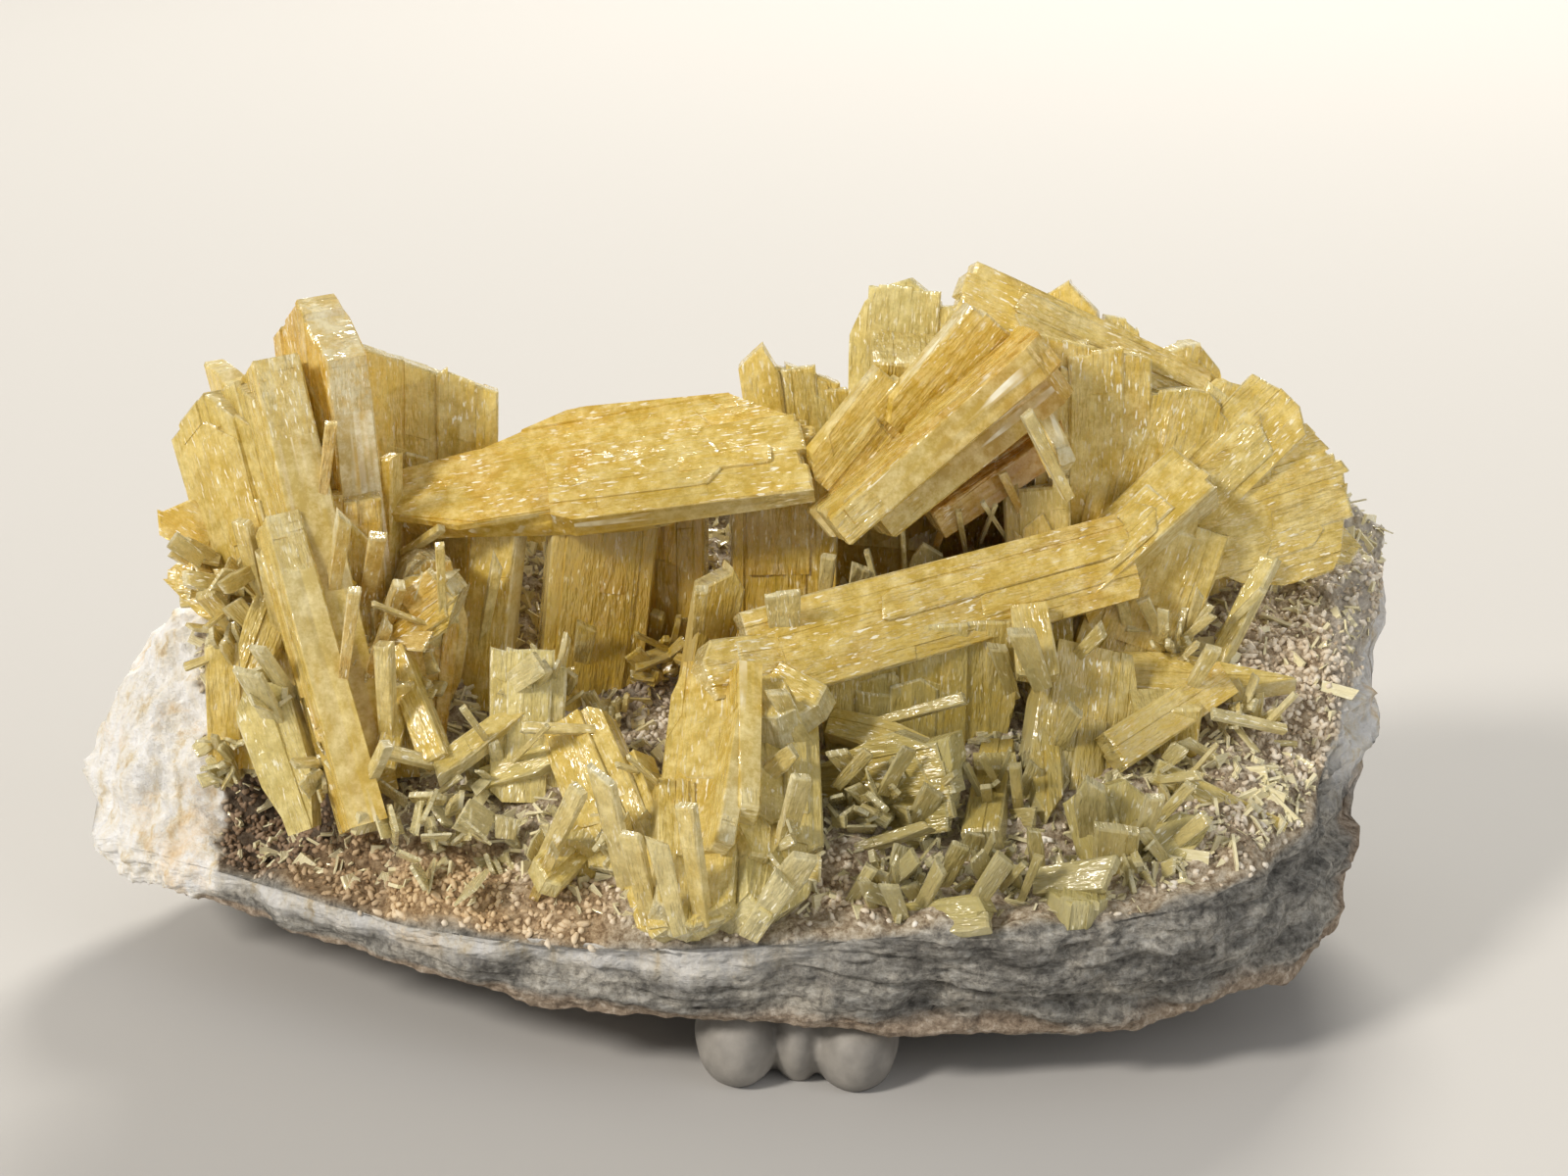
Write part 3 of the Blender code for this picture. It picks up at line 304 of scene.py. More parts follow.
# Small crystals that stand on the rock and on the big ones, in rows of the same kind.
SMALL_BLADES = (
    ((-34.1, -6.2, 46.3), (-33.8, -9.2, 58.2), 1.1, 1.4, 10, 10, "square", 0.55),
    ((-30.8, 2.4, 40.6), (-27.8, -0.6, 54.3), 1.3, 1.2, 20, 10, "slant", 0.45),
    ((-34.0, -5.7, 46.0), (-41.7, -10.0, 50.9), 0.6, 0.8, 0, 40, "square", 0.45),
    ((-33.8, -3.6, 42.7), (-36.1, -6.7, 53.8), 4.8, 1, 15, 10, "round", 0.4),
    ((-39.9, -13.9, 35.5), (-39.7, -15.7, 48.2), 2.1, 2, -10, 10, "square", 0.45),
    ((-52.8, -11.7, 36.1), (-55.6, -16.0, 45.3), 3.0, 1.2, -20, 30, "slant", 0.12),
    ((-51.6, -10.4, 39.9), (-54.3, -14.8, 47.3), 2.3, 1, -30, 20, "square", 0.1),
    ((-58.6, -0.1, 43.6), (-62.6, -3.3, 50.6), 2.5, 1.5, -20, 20, "chisel", 0.5),
    ((-58.6, 0.9, 48.9), (-65.5, -3.5, 52.1), 2.3, 1.5, -30, 30, "round", 0.5),
    ((-60.6, 4.8, 50.3), (-65.6, 0.4, 55.4), 1.8, 1.5, -10, 40, "round", 0.45),
    ((-55.9, -1.0, 48.4), (-57.7, -2.9, 60.0), 2.3, 1.5, -30, 0, "chisel", 0.5),
    ((-53.5, -3.0, 44.3), (-54.6, -6.0, 56.2), 1.8, 1.5, -30, 0, "slant", 0.55),
    ((-56.3, -1.0, 47.6), (-51.1, -5.2, 56.0), 0.9, 1, 20, 20, "square", 0.6),
    ((-46.6, -8.3, 50.9), (-43.9, -12.5, 62.9), 1.8, 1.5, 20, 0, "slant", 0.7),
    ((-43.8, -3.3, 46.9), (-41.0, -7.4, 58.4), 2.1, 1.5, 10, 10, "square", 0.68),
    ((-41.6, -4.4, 45.0), (-38.3, -8.7, 53.5), 1.6, 1.5, 25, 20, "chisel", 0.72),
    ((-45.0, -14.1, 42.2), (-42.4, -18.2, 55.4), 1.5, 1.5, 10, 5, "square", 0.66),
    ((-42.8, -10.9, 41.2), (-39.0, -15.1, 50.9), 1.4, 1.2, 20, 20, "slant", 0.68),
    ((-47.7, -4.7, 61.5), (-45.9, -6.6, 71.6), 1.4, 1.5, 10, 5, "square", 0.75),
    ((-39.6, 3.6, 52.6), (-34.0, -0.9, 57.5), 1.0, 1.2, 10, 40, "chisel", 0.6),
    ((-41.8, -17.9, 32.1), (-38.4, -23.5, 39.6), 1.8, 1.2, -20, 40, "round", 0.3),
    ((-33.4, -16.3, 33.4), (-40.7, -19.5, 36.7), 1.7, 1, 0, 50, "slant", 0.3),
    ((-30.3, -10.1, 27.4), (-30.6, -13.3, 35.3), 2.5, 1, 10, 20, "slant", 0.15),
    ((-27.2, -10.0, 40.1), (-22.2, -13.3, 44.9), 3.0, 1, 10, 30, "square", 0.1),
    ((-24.0, -9.5, 39.7), (-21.3, -13.0, 44.7), 1.8, 1, -10, 30, "chisel", 0.2),
    ((-14.5, -14.8, 37.1), (-25.6, -17.8, 38.7), 1.3, 1, 0, 40, "chisel", 0.35),
    ((-21.3, -26.4, 25.8), (-16.3, -31.6, 37.7), 2.3, 1.2, -20, 20, "chisel", 0.35),
    ((-23.0, -25.8, 20.2), (-19.5, -31.2, 29.8), 1.4, 1.5, 0, 10, "slant", 0.6),
    ((-19.0, 1.2, 38.0), (-17.5, -2.0, 46.3), 2.5, 0.8, 10, 10, "slant", 0.2),
    ((-10.7, 8.7, 37.0), (-9.4, 4.4, 45.6), 1.8, 1.2, -10, 5, "chisel", 0.45),
    ((-8.7, 8.5, 37.2), (-6.1, 4.0, 44.2), 1.4, 1, 20, 10, "square", 0.4),
    ((-4.6, -4.3, 44.3), (-3.9, -8.7, 52.3), 1.6, 1.2, 0, 5, "square", 0.5),
    ((5.7, -9.2, 46.5), (5.4, -12.5, 53.1), 4.1, 0.8, 5, 5, "square", 0.25),
    ((-8.0, -18.4, 32.6), (-13.3, -22.9, 36.1), 0.7, 0.6, 0, 50, "square", 0.2),
    ((-7.8, -23.8, 33.4), (-11.6, -29.4, 39.6), 0.6, 0.6, 10, 50, "square", 0.3),
    ((-27.7, -13.4, 33.9), (-30.9, -18.9, 41.7), 0.9, 0.7, 0, 30, "square", 0.15),
    ((-26.9, -13.2, 31.5), (-21.1, -18.6, 39.2), 0.7, 0.6, 0, 30, "square", 0.2),
    ((-38.7, -12.9, 25.4), (-31.3, -18.2, 32.8), 0.7, 0.7, 0, 30, "square", 0.15),
    ((-11.7, -28.2, 22.7), (-14.6, -31.2, 39.3), 2.8, 1.2, -30, 20, "slant", 0.3),
    ((-9.0, -33.9, 21.7), (-11.3, -36.9, 34.8), 2.5, 1.2, -20, 20, "chisel", 0.35),
    ((-5.8, -37.6, 22.1), (-8.3, -38.0, 34.1), 2.3, 1.2, 10, 20, "slant", 0.3),
    ((-3.2, -36.6, 22.8), (-4.9, -38.0, 37.5), 2.3, 1.5, -30, 20, "square", 0.45),
    ((3.8, -34.7, 23.5), (8.8, -37.8, 32.6), 3.4, 1.2, 30, 30, "round", 0.15),
    ((1.7, -35.9, 21.0), (6.2, -38.0, 29.5), 3.0, 1.2, 20, 30, "slant", 0.1),
    ((-1.0, -33.3, 19.4), (3.0, -36.5, 27.1), 2.8, 1.2, 0, 30, "round", 0.12),
    ((5.3, -29.3, 28.0), (7.9, -32.3, 39.8), 2.5, 1.2, 25, 20, "chisel", 0.25),
    ((2.9, -22.4, 33.8), (9.5, -25.5, 41.5), 2.3, 1.2, 30, 40, "spear", 0.35),
    ((8.4, -17.9, 35.4), (4.5, -21.0, 44.8), 2.3, 1.5, 10, 20, "slant", 0.4),
    ((8.8, -7.6, 31.1), (20.4, -10.6, 34.8), 1.0, 1.2, 0, 40, "square", 0.5),
    ((11.8, -23.7, 25.3), (23.5, -26.7, 30.8), 1.4, 1.6, 0, 50, "round", 0.3),
    ((19.5, -21.0, 25.8), (22.7, -24.1, 34.2), 2.8, 1, 20, 20, "slant", 0.25),
    ((16.1, -12.0, 36.9), (26.3, -15.1, 41.2), 1.4, 1.2, 10, 40, "square", 0.4),
    ((15.3, -17.0, 30.4), (11.1, -20.2, 37.2), 2.3, 0.9, -20, 30, "slant", 0.25),
    ((17.7, -18.8, 27.6), (13.1, -22.0, 33.4), 1.8, 0.9, -20, 40, "slant", 0.2),
    ((22.7, -21.1, 32.2), (26.4, -24.5, 37.3), 0.9, 1, 0, 30, "spear", 0.3),
    ((12.2, -30.4, 21.0), (15.3, -33.6, 28.3), 1.6, 0.8, -10, 20, "square", 0.2),
    ((16.0, -31.4, 20.8), (14.2, -34.6, 27.6), 1.4, 0.8, 10, 30, "slant", 0.15),
    ((19.0, -32.6, 20.8), (16.9, -35.9, 27.4), 2.1, 0.8, -10, 30, "slant", 0.12),
    ((22.6, -28.0, 22.2), (25.5, -31.2, 30.5), 2.3, 0.9, 10, 20, "chisel", 0.2),
    ((20.3, -31.3, 21.3), (23.0, -34.5, 29.2), 1.8, 0.9, -20, 30, "slant", 0.15),
    ((26.5, -33.9, 23.7), (30.0, -37.1, 31.4), 2.5, 0.9, 20, 20, "slant", 0.18),
    ((28.9, -28.8, 22.2), (32.2, -32.1, 28.1), 0.9, 0.7, 0, 30, "square", 0.25),
    ((31.6, -30.1, 21.3), (33.6, -33.2, 29.5), 1.1, 0.8, -10, 20, "square", 0.2),
    ((21.5, -34.4, 21.4), (29.1, -37.6, 23.5), 3.0, 1.4, 0, 60, "round", 0.12),
    ((34.4, -26.1, 23.0), (32.7, -29.1, 35.5), 1.8, 1, 10, 10, "spear", 0.35),
    ((32.7, -17.7, 26.8), (31.7, -20.8, 35.5), 1.4, 0.9, -10, 10, "square", 0.35),
    ((33.6, -29.7, 24.5), (42.5, -32.8, 27.2), 3.9, 1.6, 0, 50, "slant", 0.12),
    ((40.7, -23.2, 26.6), (39.6, -26.3, 36.0), 3.9, 1.2, -10, 15, "round", 0.1),
    ((42.6, -26.1, 22.5), (42.5, -29.2, 31.8), 5.1, 1.6, 5, 10, "slant", 0.3),
    ((45.1, -24.5, 24.8), (46.9, -27.6, 34.4), 2.1, 1.2, 10, 20, "square", 0.25),
    ((45.9, -21.6, 26.2), (51.2, -24.7, 34.5), 1.4, 1, 20, 40, "square", 0.25),
    ((49.4, -25.3, 24.2), (44.8, -28.5, 31.1), 1.6, 1, -10, 30, "slant", 0.2),
    ((48.9, -23.8, 26.1), (53.2, -27.1, 31.9), 1.8, 1, 10, 40, "chisel", 0.2),
    ((58.1, -10.5, 30.6), (51.2, -13.7, 35.9), 1.1, 1, 0, 50, "slant", 0.25),
    ((64.3, -7.8, 34.6), (55.1, -10.9, 37.8), 1.4, 1, 0, 50, "square", 0.2),
    ((66.3, -4.1, 31.2), (57.4, -7.2, 32.7), 0.9, 1, 10, 50, "square", 0.2),
    ((52.5, -8.1, 39.0), (55.1, -11.3, 46.1), 1.8, 1, 10, 20, "square", 0.3),
    ((51.8, 1.9, 40.3), (47.8, -1.2, 48.7), 1.6, 1, -10, 10, "square", 0.3),
    ((53.3, 2.3, 41.3), (54.8, -0.9, 49.8), 1.1, 0.9, 10, 10, "slant", 0.3),
    ((46.8, 2.1, 42.6), (44.8, -1.1, 51.1), 1.6, 1, 0, 10, "square", 0.35),
    ((57.7, 4.6, 42.0), (62.5, 1.4, 49.0), 0.9, 0.8, 20, 30, "square", 0.2),
    ((35.4, -11.6, 41.4), (32.3, -14.7, 49.6), 3.0, 1.5, -10, 20, "slant", 0.35),
    ((32.4, -5.9, 38.1), (30.1, -9.1, 45.9), 2.1, 1.5, 0, 20, "slant", 0.35),
    ((39.2, -4.6, 41.8), (42.8, -7.9, 47.3), 1.8, 1.5, 10, 30, "slant", 0.35),
    ((36.9, -11.6, 33.0), (39.2, -14.8, 40.2), 2.1, 1.2, 0, 10, "slant", 0.35),
    ((20.4, 3.9, 45.8), (19.5, 2.0, 56.9), 0.6, 0.8, 0, 10, "square", 0.35),
    ((23.0, 4.0, 45.3), (22.5, 2.0, 54.7), 4.4, 0.7, 5, 5, "round", 0.3),
    ((17.7, 4.1, 45.0), (15.3, 1.0, 54.0), 0.7, 0.8, -10, 10, "square", 0.35),
    ((13.9, 4.2, 44.4), (14.9, 1.0, 52.6), 2.5, 0.8, 10, 5, "slant", 0.35),
    ((10.2, 4.2, 44.4), (10.9, 1.0, 53.3), 1.8, 0.8, -10, 5, "square", 0.4),
    ((36.7, 6.6, 50.8), (36.4, 7.0, 63.1), 6.9, 1, 0, 5, "slant", 0.35),
    ((32.3, 4.5, 53.9), (28.8, 0.0, 60.1), 0.6, 0.6, -10, 20, "square", 0.05),
    ((29.0, 4.6, 53.8), (30.4, 0.0, 59.9), 0.5, 0.6, 10, 20, "square", 0.05),
    ((27.4, 4.4, 51.9), (26.0, 0.0, 59.2), 0.7, 0.7, -10, 20, "square", 0.4),
    ((23.8, 4.3, 53.6), (25.7, 1.0, 60.7), 1.1, 0.9, 0, 20, "chisel", 0.95),
    ((34.0, 4.2, 56.7), (30.8, 1.0, 64.1), 1.1, 0.9, 0, 20, "chisel", 0.85),
    ((38.7, -2.0, 61.2), (33.2, -5.1, 72.3), 1.5, 1.4, 10, 20, "square", 0.45),
)

# Sprays of little blades: centre, the way they lean, count, shortest and longest, narrowest and widest, how
# far they spread, and tint.
SPRAYS = (
    ((-44, -5, 42), (0.2, -0.8, 0.5), 34, (3, 8), (1.2, 3.5), 0.45, 0.65),
    ((-40, -6, 38), (0.4, -0.8, 0.3), 20, (2, 6), (0.8, 3), 0.5, 0.55),
    ((-60, 2, 50), (-0.8, -0.3, 0.2), 16, (2, 6), (1.5, 4), 0.5, 0.45),
    ((-58, 0, 44), (-0.4, -0.7, 0.5), 16, (2, 6), (1, 3), 0.5, 0.4),
    ((-60, -4, 29), (-0.1, -0.8, 0.5), 22, (2, 6), (0.8, 2.5), 0.6, 0.15),
    ((-38, -19, 27), (0.0, -0.9, 0.4), 12, (2, 5), (2, 5), 0.4, 0.0),
    ((-32, -22, 25), (0.2, -0.9, 0.4), 12, (2, 5), (2, 4.5), 0.4, 0.0),
    ((-25, -20, 26), (0.0, -0.8, 0.5), 12, (2, 5), (1.5, 4), 0.5, 0.0),
    ((-52, -10, 38), (-0.3, -0.8, 0.3), 18, (2, 6), (0.8, 2.5), 0.5, 0.15),
    ((-47, -14, 32), (0.1, -0.8, 0.4), 16, (2, 6), (0.8, 2.5), 0.6, 0.2),
    ((-22, -7, 38), (0.1, -0.5, 0.8), 16, (3, 8), (0.6, 2), 0.5, 0.15),
    ((-29, -12, 30), (0.1, -0.6, 0.7), 18, (2, 7), (0.5, 2), 0.6, 0.15),
    ((-15, -6, 35), (0.0, -0.4, 0.9), 16, (2, 6), (0.6, 2), 0.6, 0.3),
    ((-13, -24, 26), (-0.3, -0.8, 0.5), 20, (2, 8), (1, 3), 0.5, 0.3),
    ((4, -26, 27), (0.4, -0.8, 0.5), 22, (2, 8), (1, 4), 0.5, 0.15),
    ((14, -20, 29), (0.2, -0.7, 0.6), 24, (2, 8), (1, 3.5), 0.6, 0.2),
    ((18, -29, 23), (0.0, -0.5, 0.9), 22, (2, 7), (0.8, 2.5), 0.5, 0.15),
    ((29, -27, 23), (0.1, -0.5, 0.9), 26, (2, 8), (0.8, 3), 0.5, 0.18),
    ((31, -16, 28), (0.1, -0.6, 0.7), 20, (2, 8), (0.6, 2.5), 0.6, 0.25),
    ((43, -24, 26), (0.3, -0.6, 0.7), 22, (2, 7), (1, 3.5), 0.5, 0.15),
    ((51, -15, 30), (0.4, -0.6, 0.6), 18, (2, 7), (0.8, 3), 0.6, 0.25),
    ((60, -6, 36), (0.2, -0.7, 0.7), 14, (2, 6), (0.5, 2), 0.6, 0.2),
    ((52, 1, 42), (0.1, -0.6, 0.8), 22, (2, 7), (0.5, 2), 0.6, 0.25),
    ((22, 8, 44), (0.0, -0.6, 0.8), 14, (3, 7), (0.6, 3), 0.5, 0.6),
    ((32, 9, 45), (0.0, -0.6, 0.8), 12, (3, 7), (0.6, 3), 0.5, 0.8),
    ((7, 4, 41), (0.0, -0.6, 0.8), 14, (3, 7), (0.6, 3), 0.5, 0.4),
    ((-8, 2, 39), (0.0, -0.6, 0.8), 14, (3, 7), (0.6, 2.5), 0.6, 0.4),
)


def linear(code):
    """An sRGB hex colour as linear RGBA."""
    values = [int(code[i:i + 2], 16) / 255 for i in (1, 3, 5)]
    values = [v / 12.92 if v <= 0.04045 else ((v + 0.055) / 1.055) ** 2.4 for v in values]
    return (*values, 1.0)


def to_model(x, y, z):
    """A point of the tables, in millimetres, as a point of the frame in metres."""
    return Vector((x - CENTRE_X, y - CENTRE_Y, z)) * MM


def mesh_object(name, mesh):
    obj = bpy.data.objects.new(name, mesh)
    bpy.context.scene.collection.objects.link(obj)
    return obj


def mesh_from(shape, name):
    """A mesh with a bmesh's faces, which is done with."""
    mesh = bpy.data.meshes.new(name)
    shape.to_mesh(mesh)
    shape.free()
    return mesh


def evaluated_mesh(obj):
    """An object's shape after its modifiers, as a plain mesh."""
    bpy.context.view_layer.update()
    graph = bpy.context.evaluated_depsgraph_get()
    return bpy.data.meshes.new_from_object(obj.evaluated_get(graph), depsgraph=graph)


# Materials

TEXTURE_PLACE = "ShaderNodeTexCoord"
MAPPING = "ShaderNodeMapping"
ATTRIBUTE = "ShaderNodeAttribute"
NOISE = "ShaderNodeTexNoise"
RAMP = "ShaderNodeValToRGB"
MIX = "ShaderNodeMix"
MATH = "ShaderNodeMath"
VECTOR_MATH = "ShaderNodeVectorMath"
BUMP = "ShaderNodeBump"
SURFACE = "ShaderNodeBsdfPrincipled"
OUTPUT = "ShaderNodeOutputMaterial"
BLEND = {"data_type": "RGBA"}
DARKEN = {"data_type": "RGBA", "blend_type": "MULTIPLY"}
FLAT = {"noise_dimensions": "2D"}
TIMES = {"operation": "MULTIPLY"}
TIMES_AND_ADD = {"operation": "MULTIPLY_ADD"}
PLUS = {"operation": "ADD"}


def add(tree, kind, settings=None, **links):
    """Adds a node. settings are its properties, with "stops" for a ramp's (position, hex or grey) steps.
    links are its inputs, each a value, a socket, or a node whose first output in use is meant."""
    node = tree.nodes.new(kind)
    stops = ()
    for key, value in (settings or {}).items():
        if key == "stops":
            stops = value
        else:
            setattr(node, key, value)
    for number, (position, value) in enumerate(stops):
        steps = node.color_ramp.elements
        step = steps[number] if number < 2 else steps.new(position)
        step.position = position
        step.color = linear(value) if isinstance(value, str) else (value, value, value, 1.0)
    for key, value in links.items():
        wanted = key.replace("_", " ").lower()
        found = [s for s in node.inputs if s.name.lower() == wanted and s.enabled]
        socket = found[0] if found else node.inputs[int(key[1:])]
        if isinstance(value, bpy.types.Node):
            value = next(s for s in value.outputs if s.enabled)
        if isinstance(value, bpy.types.NodeSocket):
            tree.links.new(value, socket)
        else:
            socket.default_value = value
    return node


def new_material(name):
    """An empty material, its node tree, and the place on the piece."""
    made = bpy.data.materials.new(name)
    made.use_nodes = True
    tree = made.node_tree
    tree.nodes.clear()
    return made, tree, add(tree, TEXTURE_PLACE).outputs["Object"]


BARITE_IOR = 1.64
FACET_TILT = 0.15


def barite(name, greenish, honey, amber, clearness):
    """Barite, grown as glassy tabular crystals: a mosaic of nearly parallel facets that glint one by one,
    faint growth lines along the blade, cloudy veils inside, painted white glints in short dashes, narrow
    faces frosted by tiny pits and painted pale as an edge highlight, iron stains, and painted shade under the
    roof blade and low between the front crystals."""
    made, tree, place = new_material(name)
    blade = add(tree, "ShaderNodeUVMap", {"uv_map": "blade"})
    # The blade's UV is in millimetres. Lines are 0.3 mm apart and 2 mm long, bands 1.2 by 5 mm, facets 1.5 by
    # 4 mm, and painted glints, white dashes of 0.3 by 1.5 mm, stand for light flashing off cleavages inside.
    fine, broad, laid, thin = (
        add(tree, MAPPING, None, Vector=blade, Scale=(across, along, 1.0))
        for across, along in ((3.0, 0.5), (0.8, 0.2), (0.7, 0.25), (2.6, 0.6)))
    lines, bands, glint_noise = (
        add(tree, NOISE, FLAT, Vector=where, Scale=1.0, Detail=detail, Roughness=roughness)
        for where, detail, roughness in ((fine, 2.0, 0.6), (broad, 3.0, 0.65), (thin, 2.0, 0.5)))
    facets = add(tree, "ShaderNodeTexVoronoi", {"distance": "CHEBYCHEV", "voronoi_dimensions": "2D"},
                 Vector=laid, Scale=1.0, Randomness=0.8)
    # Growth zones 7 mm across and veils of tiny fluid inclusions 2 mm across go right through the crystal.
    zones, veils = (
        add(tree, NOISE, None, Vector=place, Scale=scale, Detail=detail, Roughness=roughness)
        for scale, detail, roughness in ((140.0, 3.0, 0.6), (450.0, 4.0, 0.75)))
    rim, tint = (add(tree, ATTRIBUTE, {"attribute_name": key}) for key in ("rim", "tint"))
    shifted = add(tree, MATH, TIMES_AND_ADD, _0=zones, _1=0.44, _2=-0.22)
    toned = add(tree, MATH, PLUS, _0=tint, _1=shifted)
    body = add(tree, RAMP, {"stops": ((0.0, greenish), (0.5, honey), (1.0, amber))}, Fac=toned)
    cloudy, glint_mask, crowded, frost_and_glint_pattern, spotted, dull = (
        add(tree, RAMP, {"stops": ((low, start), (high, end))}, Fac=pattern)
        for pattern, low, start, high, end in (
            (veils, 0.4, 0.0, 0.7, 0.6), (glint_noise, 0.62, 0.0, 0.69, 0.95), (zones, 0.42, 0.15, 0.6, 1.0),
            (veils, 0.42, 0.45, 0.6, 0.95), (veils, 0.35, 0.2, 0.6, 1.0), (bands, 0.4, 0.05, 0.62, 0.24)))
    # Painted glints: white dashes, crowded where the growth zones say.
    painted_glints = add(tree, MATH, TIMES, _0=glint_mask, _1=crowded)
    # Rims frosted by pits and painted pale as an edge highlight.
    frost_and_edge_glint = add(tree, MATH, TIMES, _0=rim, _1=frost_and_glint_pattern)
    for share, colour in ((cloudy, CLOUD), (painted_glints, PAINTED_GLINT), (frost_and_edge_glint, FROST_AND_EDGE_GLINT)):
        body = add(tree, MIX, BLEND, Factor=share, A=body, B=linear(colour))
    # Iron stains, and painted shade under the roof blade and low between the front crystals.
    for middle, full, gone, strength, colour in STAINS_AND_PAINTED_SHADE:
        away = add(tree, VECTOR_MATH, {"operation": "DISTANCE"}, _0=place, _1=to_model(*middle))
        near = add(tree, "ShaderNodeMapRange", {"interpolation_type": "SMOOTHSTEP"}, Value=away,
                   From_Min=full, From_Max=gone, To_Min=strength, To_Max=0.0)
        stain_and_shade = add(tree, MATH, TIMES, _0=near, _1=spotted)
        body = add(tree, MIX, DARKEN, Factor=stain_and_shade, A=body, B=linear(colour))
    milky = add(tree, MATH, {"operation": "MAXIMUM"}, _0=cloudy, _1=painted_glints)
    clear = add(tree, MATH, TIMES_AND_ADD, _0=milky, _1=-clearness, _2=clearness)
    grooves = add(tree, BUMP, None, Height=lines, Strength=0.5, Distance=0.00015)
    waves = add(tree, BUMP, None, Height=bands, Strength=0.6, Distance=0.0008, Normal=grooves)
    tilt = add(tree, VECTOR_MATH, TIMES_AND_ADD, _0=facets.outputs["Color"], _1=(2 * FACET_TILT,) * 3,
               _2=(-FACET_TILT,) * 3)
    leaned = add(tree, VECTOR_MATH, PLUS, _0=waves, _1=tilt)
    facing = add(tree, VECTOR_MATH, {"operation": "NORMALIZE"}, _0=leaned)
    shader = add(tree, SURFACE, None, Base_Color=body, Roughness=dull, IOR=BARITE_IOR,
                 Transmission_Weight=clear, Normal=facing)
    add(tree, OUTPUT, None, Surface=shader)
    return made


def layered_rock():
    """Weathered shale and limestone, broken across its layers: slaty grey in front with chalky seams, cream
    calcite on the left face, brown clay between the crust's grains, deep brown where iron stains it and where
    shade is painted in the pocket and under the overhanging crystals, all dull."""
    made, tree, place = new_material("broken layered rock")
    flat, upright = (add(tree, MAPPING, None, Vector=place, Scale=scale)
                     for scale in ((0.3, 0.3, 1.0), (1.0, 1.0, 0.35)))
    # Layers 1 to 4 mm thick, patches 12 mm across, grain under 1 mm, and streaks down the left face.
    layers, patches, grains, streaks = (
        add(tree, NOISE, None, Vector=where, Scale=scale, Detail=detail, Roughness=roughness)
        for where, scale, detail, roughness in (
            (flat, 380.0, 7.0, 0.75), (place, 85.0, 6.0, 0.7), (place, 900.0, 6.0, 0.72),
            (upright, 420.0, 8.0, 0.66)))
    slate, gritty, warm, cream, crust, chalky, golden = (
        add(tree, RAMP, {"stops": stops}, Fac=pattern)
        for pattern, stops in (
            (layers, ((0.3, "#4a4845"), (0.42, "#7d7b76"), (0.52, "#a3a19b"), (0.62, "#c9c5bc"),
                      (0.74, "#ebe7de"))),
            (grains, ((0.36, "#6f6c68"), (0.5, "#d6d3cd"), (0.62, "#ffffff"))),
            (grains, ((0.33, "#6d5e4f"), (0.46, "#978571"), (0.58, "#bbaa96"), (0.7, "#dfd5c7"))),
            (streaks, ((0.26, "#b79d78"), (0.36, "#e8d8b8"), (0.45, "#f8f3e8"), (0.6, "#ffffff"),
                       (0.78, "#e6e0d6"))),
            (grains, ((0.33, "#66543f"), (0.44, "#9b8970"), (0.55, "#c2b49d"), (0.7, "#ece3d2"))),
            (patches, ((0.48, 0.0), (0.62, 0.8))),
            (patches, ((0.56, 0.0), (0.7, 0.7)))))
    slate = add(tree, MIX, BLEND, Factor=chalky, A=slate, B=linear("#d2ccc0"))
    slate = add(tree, MIX, DARKEN, Factor=0.8, A=slate, B=gritty)
    colour = slate
    cream = add(tree, MIX, DARKEN, Factor=golden, A=cream, B=linear("#f0d09a"))
    # The last share multiplies in a deep brown: iron brown, and painted shade in the pocket and under the
    # overhanging crystals.
    for key, mixing, over in (("tan", BLEND, warm), ("cream", BLEND, cream), ("crust", BLEND, crust),
                              ("rust", DARKEN, linear("#edd0a4")), ("dark", DARKEN, linear("#4c3a2a"))):
        share = add(tree, ATTRIBUTE, {"attribute_name": key})
        colour = add(tree, MIX, mixing, Factor=share, A=colour, B=over)
    coarse = add(tree, BUMP, None, Height=layers, Strength=0.8, Distance=0.0012)
    small = add(tree, BUMP, None, Height=grains, Strength=0.8, Distance=0.0006, Normal=coarse)
    shader = add(tree, SURFACE, None, Base_Color=colour, Roughness=0.88, Normal=small)
    add(tree, OUTPUT, None, Surface=shader)
    return made


